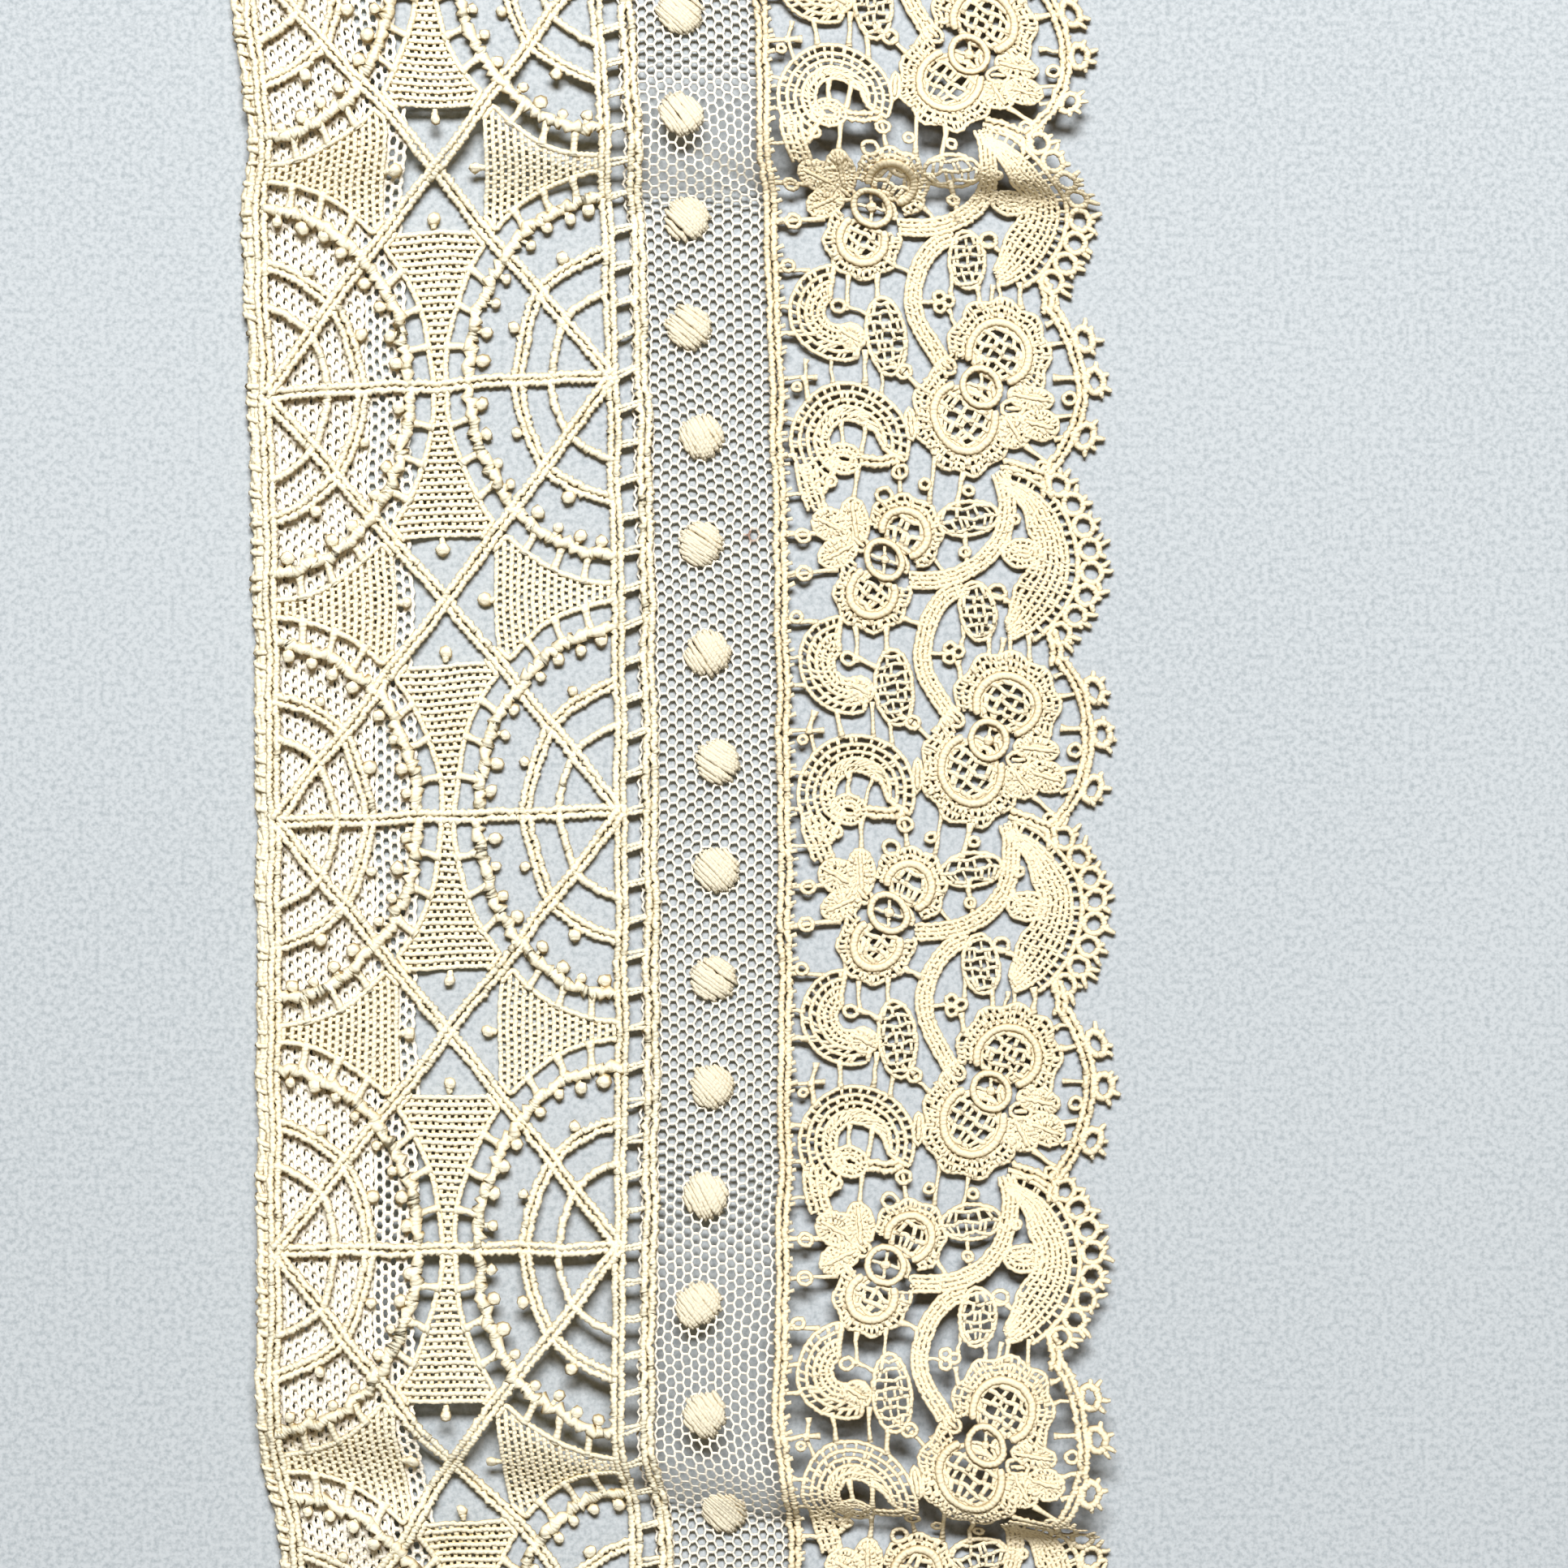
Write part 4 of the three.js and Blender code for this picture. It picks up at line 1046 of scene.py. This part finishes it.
def addScrolls(place):
    for scroll in scrolls:
        x, y, split = scroll["x"], scroll["y"], scroll["open"]
        paths = [place(oval(x, y, size, size, 0, start, stop)) for size, start, stop in scroll["rows"]]
        addCloth(scrollWork, paths[:split + 1], openRowLook, openLook)
        addCloth(scrollWork, paths[split:], rowLook, ribLook)
        for tip in (0, -1):
            addRow(scrollWork, np.array([path[tip] for path in paths]), fineLook)
    addCurl(place, tongue)
    addCord(scrollWork, place(tongueCord), edgeCordLook)
    rows = [place(curveThrough(np.array(limb["path"]) + [shift, 0.0])) for shift in limb["shifts"]]
    addCloth(scrollWork, rows, rowLook, ribLook)


# The large crescent with its curl, its rail and the fringe of loops.
crescent = {
    "x": 25.2, "y": 21.5, "outer": 10.1, "rows": 7, "start": -78, "stop": 74,
    "angles": [-86, -60, -51, -35, -15, 10, 30, 45, 58, 68, 74],
    "inner": [9.9, 8.2, 7.6, 6.4, 6.4, 5.7, 5.0, 5.1, 6.1, 7.3, 8.2],
    "rail": 11.35, "railSpan": (-76, 60), "loops": 8, "loopSpan": 45, "loopAt": 12.95, "loopSize": 1.24,
    "spikes": [-0.6, 0.0, 0.6], "spikeDrift": 0.14, "spikeReach": (0.7, 1.8),
}
crescentCurl = {"at": (29.8, 20.8), "half": (2.7, 1.9), "turn": 6, "insets": (0.3, 1.0, 1.6)}
spikeForm = {"taper": [0.4, 0.4, 0.35, 0.24], "loose": 0.05, "height": 0.55, "clear": 0.4}


# A short thread end that tapers to a point.
def addSpike(path):
    count = len(spikeForm["taper"])
    path = evenly(path, count)
    if np.abs(path[:, 1]).max() < halfLength - spikeForm["clear"]:
        path = path + rng.normal(0, spikeForm["loose"], path.shape)
        path = np.column_stack([path, np.full(count, spikeForm["height"])])
        addTubes(fringe, path, np.array(spikeForm["taper"]))


def addCrescent(place):
    x, y, outer, count = crescent["x"], crescent["y"], crescent["outer"], crescent["rows"]
    turn = np.linspace(crescent["start"], crescent["stop"], ovalSteps)
    inner = np.interp(turn, crescent["angles"], crescent["inner"])
    turn = np.radians(turn)
    rows = []
    for k in range(count):
        size = outer + (inner - outer) * k / (count - 1)
        rows.append(place(np.stack([x + size * np.cos(turn), y + size * np.sin(turn)], 1)))
    addCloth(scrollWork, rows, rowLook, ribLook)
    addCurl(place, crescentCurl)
    span = crescent["railSpan"]
    rail, foot = (place(oval(x, y, size, size, 0, *span)) for size in (crescent["rail"], outer))
    addRow(scrollWork, rail, fineLook)
    addJoins(scrollWork, rail, foot, openLook)
    for turn in np.radians(np.linspace(-crescent["loopSpan"], crescent["loopSpan"], crescent["loops"])):
        centre, size = np.array([x, y]) + crescent["loopAt"] * pointing(turn), crescent["loopSize"]
        addRow(fringe, place(oval(*centre, size, size)), loopLook, closed=True)
        for lean in crescent["spikes"] + rng.normal(0, crescent["spikeDrift"], len(crescent["spikes"])):
            way = pointing(turn + lean)
            foot = centre + way * size
            addSpike(place([foot, foot + way * rng.uniform(*crescent["spikeReach"])]))


# The scalloped cord round the large flower, with its picots.
scallop = {
    "x": 22.1, "y": 0.0, "size": 15.4, "start": -41, "stop": 47,
    "picots": [-19, -1, 22], "picot": (1.05, 1.45), "stand": 0.6,
    "spike": 1.15, "spikes": [-1.2, -0.45, 0.35, 1.1], "spikeDrift": 0.12, "spikeReach": (0.7, 1.3),
}
scallopJoints = [
    [(33.2, 30.2), (33.9, 32.4), (33.6, 34.6)],
    [(32.6, 11.2), (33.0, 12.6), (32.9, 14.0)],
    [(27.6, 9.6), (30.2, 10.4), (32.8, 11.4)],
]


def addScallop(place):
    x, y, size, (deep, wide) = scallop["x"], scallop["y"], scallop["size"], scallop["picot"]
    addCord(fringe, place(oval(x, y, size, size, 0, scallop["start"], scallop["stop"])), edgeCordLook)
    for middle in scallop["picots"]:
        out = pointing(math.radians(middle))
        along = np.array([-out[1], out[0]])
        centre = np.array([x, y]) + out * (size + scallop["stand"] + deep)
        addRow(fringe, place(oval(*centre, deep, wide, middle)), picotLook, closed=True)
        for lean in scallop["spikes"] + rng.normal(0, scallop["spikeDrift"], len(scallop["spikes"])):
            direction = out * math.cos(lean) + along * math.sin(lean)
            foot = centre + out * deep * math.cos(lean) + along * wide * math.sin(lean)
            reach = scallop["spike"] * rng.uniform(*scallop["spikeReach"])
            addSpike(place([foot, foot + direction * reach]))
    for joint in scallopJoints:
        addCord(fringe, place(curveThrough(joint)), edgeCordLook)


# Stems of four rows, and the bars and small rings that hold all in place.
stems = [
    [(15.8, 23.9), (19.2, 23.9), (22.0, 23.4), (24.8, 21.8), (26.7, 19.5), (27.6, 17.3), (27.9, 15.0),
     (27.8, 12.5), (27.2, 10.6)],
    [(22.6, 25.0), (20.8, 25.6), (19.3, 26.9), (18.1, 28.8), (17.4, 31.2), (17.2, 33.3), (17.8, 35.9),
     (19.6, 39.0), (21.0, 41.2)],
]
stemRows = (-0.87, -0.29, 0.29, 0.87)
edgingBars = [
    # both ends
    (0.7, -0.8, 4.5, -0.8), (3.7, -2.6, 3.3, -0.9), (3.3, -0.6, 3.9, 1.8), (0.7, 4.1, 2.3, 4.4),
    (0.7, 8.8, 1.9, 8.8), (0.7, 13.4, 3.0, 13.3), (0.7, 18.4, 4.8, 18.2), (0.7, 23.4, 6.4, 22.7),
    (0.7, 29.2, 4.2, 29.3), (0.7, 37.0, 2.3, 37.0), (6.7, 40.3, 6.9, 42.9), (11.1, 39.4, 11.0, 42.6),
    (13.2, 41.8, 13.1, 43.9), (14.5, 40.6, 15.4, 41.3), (16.4, 42.2, 17.5, 43.4), (14.6, 9.3, 15.1, 13.2),
    (19.3, 8.8, 18.6, 14.2), (22.7, 11.1, 22.0, 14.8), (22.7, 18.2, 23.1, 22.9), (19.0, 21.3, 20.4, 23.2),
    (28.2, 19.2, 29.0, 20.4), (25.9, 25.8, 27.0, 26.1), (27.9, 26.6, 29.0, 27.3), (25.3, 31.8, 25.4, 33.2),
    (27.2, 31.6, 26.8, 33.6), (15.2, 28.8, 16.5, 29.3), (12.8, 30.3, 12.8, 32.6), (9.2, 30.2, 9.2, 33.5),
    (9.4, 33.6, 11.5, 34.6), (18.4, 33.0, 19.6, 33.0), (22.0, 31.8, 22.2, 30.2), (21.7, 34.4, 22.0, 35.8),
    (34.4, -5.0, 36.6, -5.3), (34.6, -1.0, 36.9, -0.8), (34.6, 6.6, 36.0, 6.2), (33.8, -7.6, 35.2, -8.2),
    (9.6, 10.9, 9.4, 13.8), (8.0, 5.0, 8.0, 7.2), (10.9, 5.0, 10.2, 8.2), (31.0, 7.9, 33.6, 9.8),
    (28.1, 31.3, 28.0, 32.9), (30.5, 31.2, 30.5, 33.5), (34.2, 4.0, 36.9, 3.8), (0.7, 33.7, 1.9, 33.7),
    (5.2, 13.0, 5.6, 15.2), (20.6, 41.4, 18.8, 42.6),
]
ringPicots = [
    # centre and size
    (15.9, -1.6, 0.85), (14.9, 10.7, 0.85), (18.0, 12.3, 0.6), (23.3, 12.9, 0.6), (22.8, 20.6, 0.6),
    (26.7, 25.5, 0.95), (20.5, 32.3, 0.65), (21.6, 32.9, 0.65), (20.5, 33.6, 0.65), (2.8, 18.5, 0.8),
    (2.8, 23.2, 0.85), (2.0, 28.7, 0.7), (8.1, 33.6, 0.8), (13.1, 13.6, 0.95), (35.9, 1.7, 0.75),
    (32.7, 10.2, 0.75), (28.8, 16.6, 0.55), (6.5, 11.8, 0.6), (2.4, 0.3, 0.5),
]
ringPicotShape = 0.9


def addStems(place):
    for stem in stems:
        path = curveThrough(stem)
        addCloth(fringe, [place(beside(path, offset)) for offset in stemRows], rowLook, ribLook)
    for bar in edgingBars:
        ends = np.array(bar).reshape(2, 2)
        grip = barForm["grip"] * (ends - ends[::-1]) / np.linalg.norm(ends[0] - ends[1])
        look = {"height": barForm["height"], "radius": rng.uniform(*barForm["radii"])}
        addBride(fringe, *place(ends + grip), look)
    for x, y, size in ringPicots:
        addRow(fringe, place(oval(x, y, size, size * ringPicotShape)), ringPicotLook, closed=True)


def addRepeat(top):
    def place(path):
        path = np.asarray(path, float)
        return np.stack([border["edgingCord"] + path[:, 0], top - path[:, 1]], 1)

    for addPart in (addPetals, addRings, addLeaves, addScrolls, addCrescent, addScallop, addStems):
        addPart(place)


flowers, scrollWork, fringe = newThreads(), newThreads(), newThreads()
top = chart["flowerAt"] + chart["repeat"] * chart["above"]
while top > -halfLength - chart["repeat"] * chart["below"]:
    addRepeat(top)
    top -= chart["repeat"]

# The edging cord with its nubs, and the plain rows that finish both ends.
nubLook = dict(ribLook, radius=0.36)
nubForm = {"pitch": 1.35, "endInset": 1.5, "drift": 0.4, "inset": 0.6, "reach": (0.3, 1.0), "lean": 0.3}
edgingEnds = [(1, 46.0), (-1, 48.0)]  # which end, and how far across its rows reach
edgingEndInsets = (0.5, 1.2)
addCord(fringe, straight((border["edgingCord"], -barEnd), (border["edgingCord"], barEnd)), edgeCordLook)
most = barEnd - nubForm["endInset"]
nubs = np.arange(-most, most, nubForm["pitch"])
nubs = nubs + rng.uniform(-nubForm["drift"], nubForm["drift"], len(nubs))
foot = np.stack([np.full(len(nubs), border["edgingCord"] + nubForm["inset"]), nubs], 1)
tip = foot + rng.uniform(*nubForm["reach"], (len(nubs), 1)) * [1.0, nubForm["lean"]]
addStitches(fringe, foot, tip, nubLook)
for end, reach in edgingEnds:
    for inset in edgingEndInsets:
        edge = end * (halfLength - inset)
        addRow(fringe, straight((border["edgingCord"], edge), (reach, edge)), rowLook)

edgingFlowers = finishPiece("edging_flowers", flowers, edgingCotton, **edgingCloth)
edgingScrolls = finishPiece("edging_scrolls", scrollWork, edgingCotton, **edgingCloth)
edgingFringe = finishPiece("edging_fringe", fringe, edgingCotton, **edgingCloth)

# Floor, light and camera: straight down on the border, at the photo's framing.
stageLook = {"frameWidth": 0.1932, "height": 0.6, "aim": (0.01367, 0.004), "floor": 2.4, "floorDrop": 0.00005}
floorLook = {
    "dark": (0.348, 0.402, 0.447, 1), "light": (0.508, 0.563, 0.613, 1), "roughness": 0.85,
    "specks": 1500.0, "speckRoughness": 0.65, "speckTone": 3.4,
    "clouds": 14.0, "cloudTone": 0.3, "toneStart": 1.15,
}
lamps = [
    # name, place, size, power, colour
    ("key", (0.04, 0.69, 1.255), (0.8, 0.33), 31.3, (1.0, 0.975, 0.95)),
    ("fill", (0.4, -0.8, 1.3), (1.2, 1.2), 1.3, (1.0, 0.9, 0.75)),
]
roomLight = {"Color": (1.0, 0.78, 0.48, 1), "Strength": 0.1}


def floorMaterial():
    material, tree, shader, place = startMaterial("pale_floor")
    specks = place.noise(floorLook["specks"], 2.0, Roughness=floorLook["speckRoughness"])
    clouds = place.noise(floorLook["clouds"], 2.0)
    tone = specks * floorLook["speckTone"] + clouds * floorLook["cloudTone"] - floorLook["toneStart"]
    colour = tone.clamped().mixColour(floorLook["dark"], floorLook["light"])
    tree.links.new(colour.socket, shader.inputs["Base Color"])
    shader.inputs["Roughness"].default_value = floorLook["roughness"]
    return material


floorMesh = bmesh.new()
bmesh.ops.create_grid(floorMesh, x_segments=1, y_segments=1, size=stageLook["floor"] / 2)
floorData = bpy.data.meshes.new("floor")
floorMesh.to_mesh(floorData)
floorMesh.free()
floorData.materials.append(floorMaterial())
floor = bpy.data.objects.new("floor", floorData)
floor.location.z = -stageLook["floorDrop"]
bpy.context.scene.collection.objects.link(floor)

for name, spot, size, power, colour in lamps:
    lamp = bpy.data.lights.new(name, "AREA")
    lamp.shape, lamp.energy, lamp.color = "ELLIPSE", power, colour
    lamp.size, lamp.size_y = size
    holder = bpy.data.objects.new(name, lamp)
    holder.location = spot
    holder.rotation_mode = "QUATERNION"
    holder.rotation_quaternion = (-holder.location.normalized()).to_track_quat("-Z", "Y")
    bpy.context.scene.collection.objects.link(holder)
world = bpy.data.worlds.new("studio")
world.use_nodes = True
for socket, value in roomLight.items():
    world.node_tree.nodes["Background"].inputs[socket].default_value = value
bpy.context.scene.world = world
bpy.context.scene.view_settings.view_transform = "Standard"

camera = bpy.data.cameras.new("camera")
camera.sensor_width = 36.0
camera.lens = camera.sensor_width * stageLook["height"] / stageLook["frameWidth"]
camera.clip_start, camera.clip_end = 0.01, 20.0
cameraHolder = bpy.data.objects.new("camera", camera)
cameraHolder.location = (*stageLook["aim"], stageLook["height"])
bpy.context.scene.collection.objects.link(cameraHolder)
bpy.context.scene.camera = cameraHolder
print("stage set")

print("all pieces finished")
